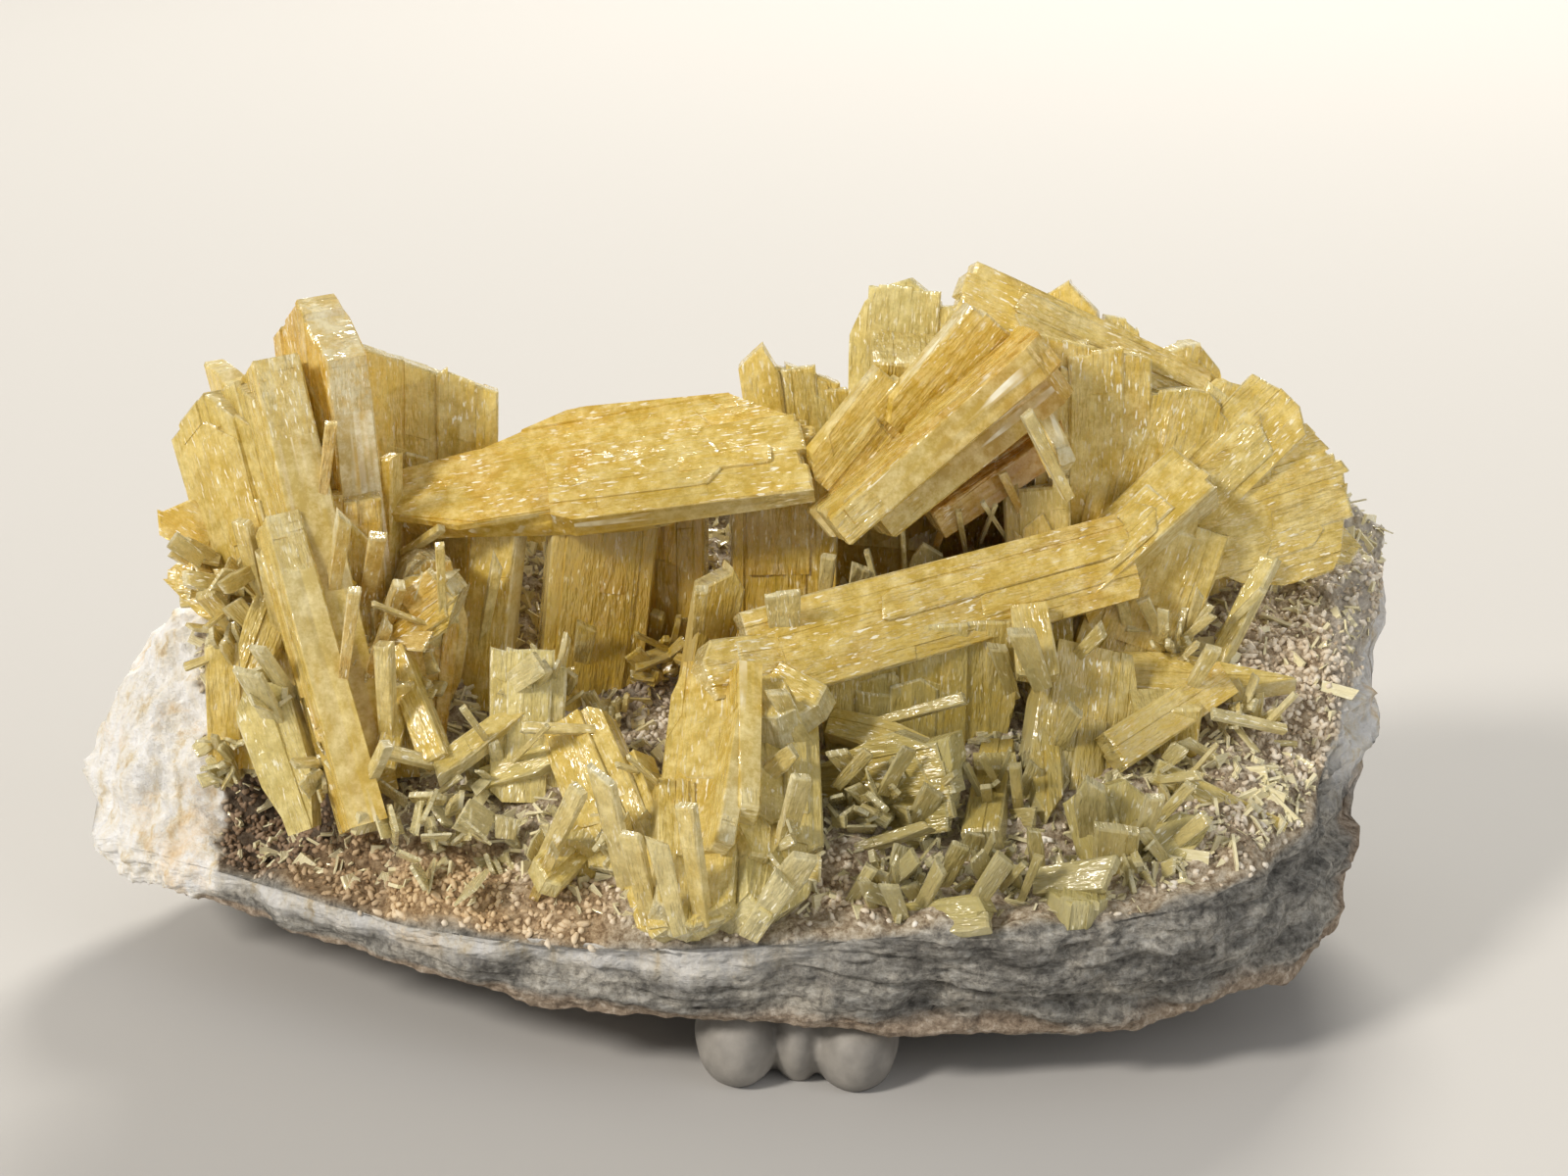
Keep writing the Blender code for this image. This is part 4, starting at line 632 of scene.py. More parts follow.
def crust_grains():
    """Clay and calcite coating in worm-like grains: white or pinkish where dusty, orange at the front rim,
    and brown where iron has stained it and where shade is painted in the pocket and under the overhanging
    crystals, all chalky."""
    made, tree, place = new_material("chalky crust grains")
    # Specks under 1 mm and patches 6 mm across.
    specks, patches = (add(tree, NOISE, None, Vector=place, Scale=scale, Detail=4.0, Roughness=0.6)
                       for scale in (1300.0, 160.0))
    own, rust, dark = (add(tree, ATTRIBUTE, {"attribute_name": key}) for key in ("tint", "rust", "dark"))
    both = add(tree, MATH, PLUS, _0=specks, _1=patches)
    shade = add(tree, MATH, TIMES_AND_ADD, _0=both, _1=0.9, _2=-0.85)
    soft = add(tree, MATH, TIMES_AND_ADD, _0=own, _1=0.6, _2=shade)
    value = add(tree, MATH, PLUS, _0=soft, _1=0.2)
    colour = add(tree, RAMP, {"stops": ((0.0, "#857058"), (0.3, "#b3a189"), (0.6, "#d6cab6"),
                                        (1.0, "#f4efe4"))}, Fac=value)
    colour = add(tree, MIX, DARKEN, Factor=rust, A=colour, B=linear("#f6dcae"))
    # Browner where iron stains the crust and where shade is painted in the pocket and under the overhanging
    # crystals.
    colour = add(tree, MIX, DARKEN, Factor=dark, A=colour, B=linear("#8c7056"))
    bumps = add(tree, BUMP, None, Height=specks, Strength=0.5, Distance=0.0002)
    shader = add(tree, SURFACE, None, Base_Color=colour, Roughness=0.85, Normal=bumps)
    add(tree, OUTPUT, None, Surface=shader)
    return made


def mounting_putty():
    """Putty: soft grey, matt, with dust in patches 4 mm across and a skin dimpled by handling."""
    made, tree, place = new_material("grey mounting putty")
    dust = add(tree, NOISE, None, Vector=place, Scale=240.0, Detail=5.0)
    colour = add(tree, RAMP, {"stops": ((0.35, "#807c76"), (0.7, "#a09b93"))}, Fac=dust)
    skin = add(tree, NOISE, None, Vector=place, Scale=900.0, Detail=3.0)
    bumps = add(tree, BUMP, None, Height=skin, Strength=0.3, Distance=0.0003)
    shader = add(tree, SURFACE, None, Base_Color=colour, Roughness=0.6, Normal=bumps)
    add(tree, OUTPUT, None, Surface=shader)
    return made


# The rock's skin

def between(positions, values, at):
    """A smooth curve through the values, read at one position."""
    last = len(positions) - 1
    span = 0
    while span < last - 1 and at > positions[span + 1]:
        span += 1

    def slope(i):
        low = max(i - 1, 0)
        high = min(i + 1, last)
        return (values[high] - values[low]) / (positions[high] - positions[low])

    width = positions[span + 1] - positions[span]
    t = (at - positions[span]) / width
    return (values[span] * (2 * t ** 3 - 3 * t ** 2 + 1) + slope(span) * width * (t ** 3 - 2 * t ** 2 + t)
            + values[span + 1] * (3 * t ** 2 - 2 * t ** 3) + slope(span + 1) * width * (t ** 3 - t ** 2))


def section_ring(x):
    """The rock's outline at x as points in order, each with the stretch that it lies on and how far along."""
    positions = [station[0] for station in ROCK_SECTIONS]
    corners = []
    for corner in range(len(ROCK_ROWS)):
        y = between(positions, [station[1][corner][0] for station in ROCK_SECTIONS], x)
        z = between(positions, [station[1][corner][1] for station in ROCK_SECTIONS], x)
        corners.append(Vector((x, y, z)))
    ring = []
    count = len(corners)
    for i, rows in enumerate(ROCK_ROWS):
        out = (corners[(i + 1) % count] - corners[i - 1]) * CORNER_ROUNDING
        into = (corners[(i + 2) % count] - corners[i]) * CORNER_ROUNDING
        for row in range(rows):
            t = row / rows
            point = corners[i] * (2 * t ** 3 - 3 * t ** 2 + 1) + out * (t ** 3 - 2 * t ** 2 + t)
            point += corners[(i + 1) % count] * (3 * t ** 2 - 2 * t ** 3) + into * (t ** 3 - t ** 2)
            ring.append((point, i + t))
    return ring


def smooth(low, high, value):
    """0 up to low and 1 from high on, with a smooth step between."""
    t = min(max((value - low) / (high - low), 0.0), 1.0)
    return t * t * (3 - 2 * t)


def rough(point, size, octaves=3):
    """Fractal roughness between about -1 and 1 with features of this size in millimetres."""
    return noise.fractal(point / size, 0.9, 2.1, octaves)


LEDGE_THICKNESS = 2.9
LEDGE_DEPTH = 2.6
LEDGE_DIP = 0.09
LEDGE_FULL_HEIGHT = 14.0
# The layers have broken off in blocks: length, height and depth in front, and the same at the back.
FRONT_BLOCKS = (8.0, 1.9, 0.55)
BACK_BLOCKS = (17.0, 4.5, 0.8)
BACK_RELIEF = 1.5
CRUST_CELL = 1.7
POCKET_CENTRE = Vector((-56.0, -6.0, 26.0))
POCKET_RADIUS = 12.0
POCKET_DEPTH = 5.0
# Small bosses on the rock's outside: centre, radius and height.
BOSSES = (
    (Vector((66.5, -9.0, 25.0)), 3.2, 2.4),
    (Vector((68.0, -3.0, 20.0)), 4.5, 1.2),
    (Vector((-74.0, 4.0, 24.0)), 6.0, 1.4),
)
# Patches of the crust: centre, radius, how thickly worm-like grains cover it, how rusty it is, and how dark
# it is, which is iron brown and painted shade in the pocket and under the overhanging crystals.
CRUST_PATCHES = (
    ((-56, -6, 24), 13, 1.0, 0.15, 0.85),
    ((-46, -17, 20), 10, 0.8, 0.7, 0.4),
    ((-33, -26, 20), 13, 1.0, 0.75, 0.0),
    ((-20, -30, 20), 9, 0.9, 0.6, 0.0),
    ((-8, -5, 34), 8, 1.0, 0.1, 0.1),
    ((-13, 3, 38), 8, 0.9, 0.1, 0.45),
    ((13, -29, 24), 6, 1.0, 0.3, 0.0),
    ((30, 12, 46), 13, 0.6, 0.2, 0.8),
    ((67, 2, 38), 15, 1.0, 0.2, 0.0),
    ((76, 18, 47), 10, 1.0, 0.1, 0.0),
    ((54, -20, 28), 9, 0.8, 0.15, 0.1),
    ((52, 5, 44), 9, 0.5, 0.2, 0.35),
)


def rock_masks(point, stretch):
    """Which finish the rock shows at a place, and how thickly grains and blades grow, each from 0 to 1."""
    wander = 3.0 * rough(point, 7.0, 4)
    left = 1 - smooth(-64.0 + wander, -62.5 + wander, point.x)
    right = smooth(70.0 + wander * 0.5, 73.0 + wander * 0.5, point.x)
    on_top = smooth(1.0, 1.4, stretch + wander * 0.06)
    on_top *= 1 - smooth(4.75, 5.1, stretch + wander * 0.05)
    crust = on_top * (1 - left) * (1 - right * 0.4)
    outside = 1 - on_top
    tan = 0.0
    if stretch < FRONT_END:
        tan = 1 - smooth(0.16, 0.3, stretch + wander * 0.02)
    elif stretch > BACK_START:
        tan = min(max(0.45 + 1.1 * rough(point, 16.0, 3), 0.0), 0.9)
    cream = max(left * (1 - smooth(5.0, 5.6, stretch) * 0.5),
                right * 0.75 * smooth(20.0, 28.0, point.z + wander))
    if stretch < FRONT_END:
        chalk = smooth(0.45, 0.75, stretch + wander * 0.04)
        chalk *= 1 - smooth(-12.0, 20.0, point.x + wander)
        cream = max(cream, 0.6 * chalk)
    worms = 0.12
    rust = 0.0
    # The dark share is iron brown, and painted shade in the pocket and under the overhanging crystals.
    dark = 0.0
    for centre, radius, amount, rusty, brown_and_shade_amount in CRUST_PATCHES:
        near = 1 - smooth(0.55, 1.05, (point - Vector(centre)).length / radius + wander * 0.05)
        worms = max(worms, near * amount)
        rust = max(rust, near * rusty)
        dark = max(dark, near * brown_and_shade_amount)
    return {"crust": crust, "tan": tan * outside, "cream": cream, "rust": rust * crust,
            "dark": dark * crust, "grains": worms * crust * smooth(1.1, 1.3, stretch),
            "blades": (1 - 0.7 * worms) * crust * smooth(1.5, 2.0, stretch)}


def rock_shift(point, stretch, height, masks):
    """How far the rock's skin stands out from its plain section at a place."""
    calm = smooth(0.0, 0.4, stretch) if stretch < FRONT_END else 1 - smooth(5.0, 5.4, stretch)
    shift = 2.2 * noise.noise(point / 11.0 + Vector((SEED, 0, 0)))
    shift += 1.2 * noise.noise(point / 5.0 + Vector((0, SEED, 0)))
    shift *= 0.3 + 0.7 * calm
    away = (point - POCKET_CENTRE).length / POCKET_RADIUS
    if away < 1:
        shift -= POCKET_DEPTH * (1 - away ** 2) ** 2
    for centre, radius, boss in BOSSES:
        near = (point - centre).length / radius
        if near < 1:
            shift += boss * (1 - near ** 2) ** 2
    if stretch < FRONT_END:
        level = (point.z + LEDGE_DIP * point.x) / LEDGE_THICKNESS
        layer = math.floor(level)
        share = min(1.0, height / LEDGE_FULL_HEIGHT)
        ledge = noise.noise(Vector((layer * 3.7, point.x * 0.05, 2.3)))
        above = noise.noise(Vector(((layer + 1) * 3.7, point.x * 0.05, 2.3)))
        blend = smooth(0.8, 1.0, level - layer)
        shift += LEDGE_DEPTH * share * (ledge * (1 - blend) + above * blend)
        share *= smooth(0.0, 0.25, stretch)
        flat = Vector((point.x / 6.0, point.y / 6.0, point.z / 1.0))
        shift += 0.7 * share * noise.fractal(flat, 0.8, 2.1, 4)
        long, high, deep = FRONT_BLOCKS
        bed = math.floor(point.z / high + 1.4 * noise.noise(point / 13.0))
        along = point.x / long + 0.37 * bed + 0.5 * noise.noise(point / 4.0)
        shift += deep * share * noise.cell(Vector((along, 0.5, bed)))
    if stretch > BACK_START:
        long, high, deep = BACK_BLOCKS
        behind = smooth(5.0, 5.6, stretch) * (1 - smooth(7.5, 8.2, stretch))
        bed = math.floor(point.z / high + 1.2 * noise.noise(point / 15.0))
        along = point.x / long + 0.41 * bed + 0.6 * noise.noise(point / 6.0)
        broken = BACK_RELIEF * rough(point, 12.0, 4) + deep * noise.cell(Vector((along, 2.5, bed)))
        shift += behind * broken
    if masks["crust"] > 0.01:
        cells = noise.voronoi(point / CRUST_CELL + Vector((3.1, 0, 0)))[0]
        shift += masks["crust"] * (0.55 * (0.6 - cells[0]) + 0.5 * rough(point, 2.4, 3))
    shift += (0.35 + 0.45 * masks["cream"]) * rough(point, 3.6, 4)
    shift += (0.16 + 0.2 * masks["cream"]) * rough(point, 1.1, 3)
    return shift


def make_rock(finish):
    """A fine closed skin over the rock, its broken layers, bosses, pocket and crust raised in the mesh."""
    first = ROCK_SECTIONS[0][0]
    last = ROCK_SECTIONS[-1][0]
    rings = []
    for column in range(ROCK_COLUMNS + 1):
        share = column / ROCK_COLUMNS
        share += (0.5 - 0.5 * math.cos(math.pi * share) - share) * END_CROWDING
        rings.append(section_ring(first + (last - first) * share))
    points = np.array([[tuple(point) for point, _ in ring] for ring in rings])
    along = np.gradient(points, axis=0)
    around = np.roll(points, -1, axis=1) - np.roll(points, 1, axis=1)
    normals = np.cross(along, around)
    normals /= np.linalg.norm(normals, axis=2, keepdims=True)
    verts = []
    fields = {key: [] for key in ("crust", "tan", "cream", "rust", "dark", "grains", "blades")}
    for ring, directions in zip(rings, normals):
        height = ring[ROCK_ROWS[0]][0].z - ring[0][0].z
        for (point, stretch), direction in zip(ring, directions):
            masks = rock_masks(point, stretch)
            moved = point + Vector(direction) * rock_shift(point, stretch, height, masks)
            moved.z = max(moved.z, 0.0)
            verts.append(to_model(*moved))
            for key, values in fields.items():
                values.append(masks[key])
    count = sum(ROCK_ROWS)
    faces = []
    for column in range(ROCK_COLUMNS):
        for row in range(count):
            a = column * count + row
            b = column * count + (row + 1) % count
            faces.append((a, b, b + count, a + count))
    for column in (0, ROCK_COLUMNS):
        ring = range(column * count, (column + 1) * count)
        middle = sum((verts[i] for i in ring), Vector()) / count
        verts.append(middle)
        for values in fields.values():
            values.append(values[column * count])
        for i in ring:
            j = column * count + (i + 1 - column * count) % count
            faces.append((i, len(verts) - 1, j) if column == 0 else (j, len(verts) - 1, i))
    mesh = bpy.data.meshes.new("rock_with_crust")
    mesh.from_pydata(verts, [], faces)
    for key, values in fields.items():
        mesh.attributes.new(key, "FLOAT", "POINT").data.foreach_set("value", values)
    mesh.materials.append(finish)
    mesh.shade_smooth()
    return mesh_object("rock_with_crust", mesh)


# Blades

def outline_span(outline, across):
    """The lowest and highest point of an outline on the line at this place across it."""
    hits = []
    for (x0, y0), (x1, y1) in zip(outline, outline[1:] + outline[:1]):
        if (x0 - across) * (x1 - across) <= 0 and x0 != x1:
            hits.append(y0 + (y1 - y0) * (across - x0) / (x1 - x0))
    return min(hits), max(hits)


def blade_matrix(root, tip, azimuth, elevation):
    """Places a blade with Y from root to tip and Z out of its broad face."""
    direction = (tip - root).normalized()
    azimuth = math.radians(azimuth)
    elevation = math.radians(elevation)
    looks = Vector((
        math.sin(azimuth) * math.cos(elevation),
        -math.cos(azimuth) * math.cos(elevation),
        math.sin(elevation),
    ))
    normal = (looks - direction * looks.dot(direction)).normalized()
    turn = Matrix((direction.cross(normal), direction, normal)).transposed().to_4x4()
    return Matrix.Translation(root) @ turn


def breaks(chance, count):
    """Places that part a length of 1 into uneven shares, with its ends."""
    places = sorted(chance.uniform(0.02, 0.98) for _ in range(count - 1))
    even = [(i + 1) / count for i in range(count - 1)]
    return [0.0] + [(p + e) / 2 for p, e in zip(places, even)] + [1.0]


# The faces of a blade, whose growth lines run in different ways.
BROAD, NARROW, END = range(3)

# Each blade is a bundle of parallel laths that grew in stages. These are their width and length in
# millimetres and the most that a blade has, then the width of the risers between them and of the bevel.
LATH_WIDTH = 2.4
MOST_LATHS = 8
STAGE_LENGTH = 4.0
MOST_STAGES = 10
RISER = 0.04
BEVEL = 0.35
# The share of its outline's width that a blade fills, so that it stays inside its solid.
INSIDE = 0.985
HIGHEST_STEP = 0.16
# How far short of the tip a lath may end, in millimetres on a blade of 25 mm or more.
NOTCHES = (0, 0, 0, 0.1, 0.35, 0.8)
# How strongly a blade's rims are frosted and painted pale as an edge highlight.
FROST_AND_GLINT_LEVELS = (0.25, 0.4, 0.6, 0.9)
PATTERN_SPREAD = 40
TINT_FADE = 0.12
OVERGROWN_WIDTH = 7


class Crystals:
    """Gathers blades into one mesh, each a bundle of parallel laths that end and step unevenly."""

    def __init__(self, name, seed):
        self.name = name
        self.chance = random.Random(seed)
        self.verts = []
        self.faces = []
        self.sites = []
        self.kinds = []
        self.rim = []
        self.tint = []

    def add_blade(self, root, tip, width, thickness, azimuth, elevation, kind, tint):
        """One crystal, in millimetres. Its steps are real and its fine lines are left to the material."""
        chance = self.chance
        outline = OUTLINES[kind]
        low_side = min(x for x, _ in outline) * INSIDE
        high_side = max(x for x, _ in outline) * INSIDE
        root = Vector(root)
        tip = Vector(tip)
        length = (tip - root).length
        place = blade_matrix(root, tip, azimuth, elevation)
        laths = max(1, min(MOST_LATHS, round(width / LATH_WIDTH)))
        stages = max(1, min(MOST_STAGES, round(length / STAGE_LENGTH)))
        edges = [low_side + (high_side - low_side) * b for b in breaks(chance, laths)]
        riser = RISER * 2 / width
        columns = []
        for lath in range(laths):
            columns.append((edges[lath] + riser, lath))
            columns.append((edges[lath + 1] - riser, lath))
        bevel = min(BEVEL, width * 0.12) * 2 / width
        columns[0] = (low_side, 0)
        columns.insert(1, (low_side + bevel, 0))
        columns[-1] = (high_side, laths - 1)
        columns.insert(-1, (high_side - bevel, laths - 1))
        marks = breaks(chance, stages)
        rows = []
        for stage in range(stages):
            rows.append((marks[stage] + RISER / length, stage))
            rows.append((marks[stage + 1] - RISER / length, stage))
        rows[0] = (0.0, 0)
        rows[-1] = (1.0, stages - 1)
        rows.insert(-1, (1.0 - min(BEVEL, length * 0.1) / length, stages - 1))
        notch = [chance.choice(NOTCHES) * min(1.0, length / 25) for _ in range(laths)]
        step = min(HIGHEST_STEP, thickness * 0.05)

        def terraces():
            """Heights of one broad face, where a lath steps up or down only now and then."""
            made = []
            for _ in range(laths):
                height = chance.uniform(-step, step) * 1.4
                steps_along = []
                for _ in range(stages):
                    if chance.random() < 0.2:
                        height = min(max(height + chance.uniform(-step, step), -2 * step), 2 * step)
                    steps_along.append(height)
                made.append(steps_along)
            return made

        front = terraces()
        behind = terraces()
        blade_tint = min(max(tint + chance.uniform(-0.06, 0.06), 0.0), 1.0)
        frost_and_glint = chance.choice(FROST_AND_GLINT_LEVELS)
        start = len(self.verts)
        shift_u = chance.uniform(0, PATTERN_SPREAD)
        shift_v = chance.uniform(0, PATTERN_SPREAD)
        last_column = len(columns) - 1
        last_row = len(rows) - 1
        for side, heights in ((1, front), (-1, behind)):
            for c, (across, lath) in enumerate(columns):
                low, high = outline_span(outline, across)
                top = high * length - notch[lath]
                for r, (share, stage) in enumerate(rows):
                    edge = c in (0, last_column) or r == last_row
                    half = thickness / 2 + heights[lath][stage]
                    if edge:
                        half = max(half - min(0.3, thickness * 0.14), thickness * 0.2)
                    x = across * width / 2
                    y = low * length + (top - low * length) * share
                    if edge:
                        y += chance.uniform(-0.1, 0.1)
                    point = place @ Vector((x, y, side * half))
                    self.verts.append(to_model(*point))
                    self.sites.append((x + shift_u, y + shift_v, side * half))
                    # Rims are frosted and painted pale as an edge highlight.
                    self.rim.append(frost_and_glint if edge else 0.0)
                    faded = TINT_FADE * (0.4 - y / length) - (TINT_FADE if edge else 0.0)
                    self.tint.append(blade_tint + faded)
        column_size = len(rows)
        back = len(columns) * len(rows)
        for c in range(last_column):
            for r in range(last_row):
                a = start + c * column_size + r
                b = a + column_size
                self.faces.append((a, b, b + 1, a + 1))
                self.faces.append((a + back, a + back + 1, b + back + 1, b + back))
                self.kinds += [BROAD, BROAD]
        for c in range(last_column):
            a = start + c * column_size
            b = a + column_size
            self.faces.append((a, a + back, b + back, b))
            self.faces.append((a + last_row, b + last_row, b + last_row + back, a + last_row + back))
            self.kinds += [END, END]
        for r in range(last_row):
            a = start + r
            b = start + last_column * column_size + r
            self.faces.append((a, a + 1, a + 1 + back, a + back))
            self.faces.append((b, b + back, b + 1 + back, b + 1))
            self.kinds += [NARROW, NARROW]

    def add_overgrowths(self, root, tip, width, thickness, azimuth, elevation, kind, tint):
        """Thin plates grown on the broad faces of a big blade, parallel with it."""
        chance = self.chance
        root = Vector(root)
        tip = Vector(tip)
        length = (tip - root).length
        turn = blade_matrix(root, tip, azimuth, elevation)
        for number in range(max(1, round(width / 4))):
            side = 1 if number % 3 < 2 else -1
            plate_width = width * chance.uniform(0.2, 0.65)
            across = chance.uniform(-0.5, 0.5) * (width * 0.8 - plate_width)
            if chance.random() < 0.6:
                low = 0.0
                high = length * chance.uniform(0.45, 0.93)
            else:
                low = length * chance.uniform(0.25, 0.6)
                high = length * chance.uniform(0.88, 0.97)
            out = side * (thickness / 2 - chance.uniform(0.15, 0.5))
            self.add_blade(
                turn @ Vector((across, low, out)), turn @ Vector((across, high, out)), plate_width,
                chance.uniform(0.9, 1.5), azimuth, elevation,
                chance.choice(("chisel", "slant", "chisel", "square")), tint + chance.uniform(-0.04, 0.04),
            )

    def add_spray(self, centre, leaning, count, lengths, widths, spread, tint):
        """Small blades that fan out of one place."""
        chance = self.chance
        leaning = Vector(leaning).normalized()
        for _ in range(count):
            lean = Vector([chance.gauss(0, spread) for _ in range(3)])
            direction = (leaning + lean).normalized()
            offset = Vector([chance.uniform(-1, 1) for _ in range(3)]) * widths[1]
            root = Vector(centre) + offset
            self.add_blade(
                root, root + direction * chance.uniform(*lengths), chance.uniform(*widths),
                chance.uniform(0.3, 0.8), chance.uniform(-80, 80), chance.uniform(-10, 60),
                chance.choice(("square", "chisel", "slant", "round", "spear")),
                min(max(tint + chance.uniform(-0.15, 0.15), 0), 1),
            )

    def finish(self, material):
        """The gathered blades as one object, with their own UV in millimetres, rims frosted and painted pale
        as an edge highlight, and tints.
        """
        mesh = bpy.data.meshes.new(self.name)
        mesh.from_pydata(self.verts, [], self.faces)
        layer = mesh.uv_layers.new(name="blade")
        corners = np.empty(len(mesh.loops), np.int32)
        mesh.loops.foreach_get("vertex_index", corners)
        kinds = np.repeat(self.kinds, [len(face) for face in self.faces])
        across, along, through = np.array(self.sites, np.float32)[corners].T
        u = np.where(kinds == NARROW, through, across)
        v = np.where(kinds == END, through, along)
        layer.data.foreach_set("uv", np.stack((u, v), axis=1).astype(np.float32).ravel())
        for key, values in (("rim", self.rim), ("tint", self.tint)):
            mesh.attributes.new(key, "FLOAT", "POINT").data.foreach_set("value", values)
        mesh.materials.append(material)
        mesh.update()
        return mesh_object(self.name, mesh)


# Scatter

SCATTER_INPUTS = (
    ("Per square metre", "NodeSocketFloat", 1000.0),
    ("Smallest", "NodeSocketFloat", 0.5),
    ("Largest", "NodeSocketFloat", 1.0),
    ("Lean", "NodeSocketFloat", 0.6),
    ("Seed", "NodeSocketInt", SEED),
    ("Where", "NodeSocketString", "crust"),
)
# Little blades for the scatter to pick from: how many, the longest, widest and thickest in millimetres, and
# their seed. They are sunk a little in the surface.
LITTLE_BLADES = {
    "druse_blade": (6, 5.0, 2.6, 0.45, 31),
    "needle": (4, 5.0, 0.3, 0.24, 57),
}
SUNK = 0.6
# How strongly the little blades' rims are frosted and painted pale as an edge highlight.
LITTLE_FROST_AND_GLINT = 0.35
LITTLE_TINT = 0.4
GRAIN_KINDS = 5
GRAIN_SEED = 83
RANDOM = "FunctionNodeRandomValue"


def scatter_tree(name, prototypes, finish):
    """Stands copies of small crystals or grains on a surface, as thick as one of its attributes says."""
    tree = bpy.data.node_groups.new(name, "GeometryNodeTree")
    tree.interface.new_socket("Surface", in_out="INPUT", socket_type="NodeSocketGeometry")
    names = {}
    for label, kind, value in SCATTER_INPUTS:
        item = tree.interface.new_socket(label, in_out="INPUT", socket_type=kind)
        item.default_value = value
        names[label] = item.identifier
    tree.interface.new_socket("Pieces", in_out="OUTPUT", socket_type="NodeSocketGeometry")
    given = tree.nodes.new("NodeGroupInput").outputs
    lean, seed = given["Lean"], given["Seed"]
    density = add(tree, "GeometryNodeInputNamedAttribute", {"data_type": "FLOAT"}, Name=given["Where"])
    amount = add(tree, MATH, TIMES, _0=given["Per square metre"], _1=density)
    spread = add(tree, "GeometryNodeDistributePointsOnFaces", {"distribute_method": "RANDOM"},
                 Mesh=given["Surface"], Density=amount, Seed=seed)
    lean_back = add(tree, MATH, TIMES, _0=lean, _1=-1.0)
    low = add(tree, "ShaderNodeCombineXYZ", None, X=lean_back, Y=lean_back, Z=-math.pi)
    high = add(tree, "ShaderNodeCombineXYZ", None, X=lean, Y=lean, Z=math.pi)
    turn = add(tree, RANDOM, {"data_type": "FLOAT_VECTOR"}, Min=low, Max=high, Seed=seed)
    euler = add(tree, "FunctionNodeEulerToRotation", None, Euler=turn)
    turned = add(tree, "FunctionNodeRotateRotation", {"rotation_space": "LOCAL"},
                 Rotation=spread.outputs["Rotation"], Rotate_By=euler)
    size, shade = (add(tree, RANDOM, {"data_type": "FLOAT"}, Min=least, Max=most, Seed=seed)
                   for least, most in ((given["Smallest"], given["Largest"]), (0.0, 1.0)))
    source = add(tree, "GeometryNodeCollectionInfo", None, Collection=prototypes, Separate_Children=True,
                 Reset_Children=True)
    stood = add(tree, "GeometryNodeInstanceOnPoints", None, Points=spread, Instance=source,
                Pick_Instance=True, Rotation=turned, Scale=size)
    tinted = add(tree, "GeometryNodeStoreNamedAttribute", {"data_type": "FLOAT", "domain": "INSTANCE"},
                 Geometry=stood, Name="tint", Value=shade)
    real = add(tree, "GeometryNodeRealizeInstances", None, Geometry=tinted)
    painted = add(tree, "GeometryNodeSetMaterial", None, Geometry=real, Material=finish)
    out = tree.nodes.new("NodeGroupOutput")
    tree.links.new(painted.outputs[0], out.inputs[0])
    return tree, names


def scattered(name, surface, prototypes, finish, **values):
    """The scatter over a surface as one plain mesh."""
    tree, names = scatter_tree(name, prototypes, finish)
    carrier = mesh_object(name + "_carrier", surface)
    modifier = carrier.modifiers.new(name, "NODES")
    modifier.node_group = tree
    for key, value in values.items():
        modifier[names[key.replace("_", " ")]] = value
    mesh = evaluated_mesh(carrier)
    mesh.name = name
    bpy.data.objects.remove(carrier, do_unlink=True)
    return mesh_object(name, mesh)


def growing_surface(rock):
    """The part of the rock's skin that crystals and grains grow on."""
    shape = bmesh.new()
    shape.from_mesh(rock.data)
    crust = shape.verts.layers.float["crust"]
    bare = [face for face in shape.faces if max(v[crust] for v in face.verts) < 0.02]
    bmesh.ops.delete(shape, geom=bare, context="FACES")
    return mesh_from(shape, "growing_surface")


def prototype_blades(name):
    """A few little blades that stand up from the origin, for the scatter to pick from."""
    count, length, width, thickness, seed = LITTLE_BLADES[name]
    collection = bpy.data.collections.new(name)
    chance = random.Random(seed)
    origin = Vector((CENTRE_X, CENTRE_Y, 0))
    for number in range(count):
        maker = Crystals(f"{name}_{number}", seed + number)
        long = chance.uniform(0.7, 1.0) * length
        wide = chance.uniform(0.5, 1.0) * width
        outline = OUTLINES[chance.choice(("square", "chisel", "slant"))]
        half = thickness * chance.uniform(0.35, 0.6)
        corners = [Vector((x * wide / 2, 0, y * long - SUNK)) for x, y in outline]
        for side in (1, -1):
            for corner in corners:
                maker.verts.append(to_model(*(corner + Vector((0, side * half, 0)) + origin)))
                maker.sites.append((corner.x, corner.z, side * half))
                maker.rim.append(LITTLE_FROST_AND_GLINT)
                maker.tint.append(LITTLE_TINT)
        sides = len(corners)
        maker.faces.append(tuple(range(sides))[::-1])
        maker.faces.append(tuple(range(sides, 2 * sides)))
        for i in range(sides):
            j = (i + 1) % sides
            maker.faces.append((i, j, j + sides, i + sides))
        maker.kinds = [BROAD, BROAD] + [NARROW] * sides
        obj = maker.finish(None)
        shape = bmesh.new()
        shape.from_mesh(obj.data)
        bmesh.ops.recalc_face_normals(shape, faces=shape.faces)
        shape.to_mesh(obj.data)
        shape.free()
        bpy.context.scene.collection.objects.unlink(obj)
        collection.objects.link(obj)
    return collection


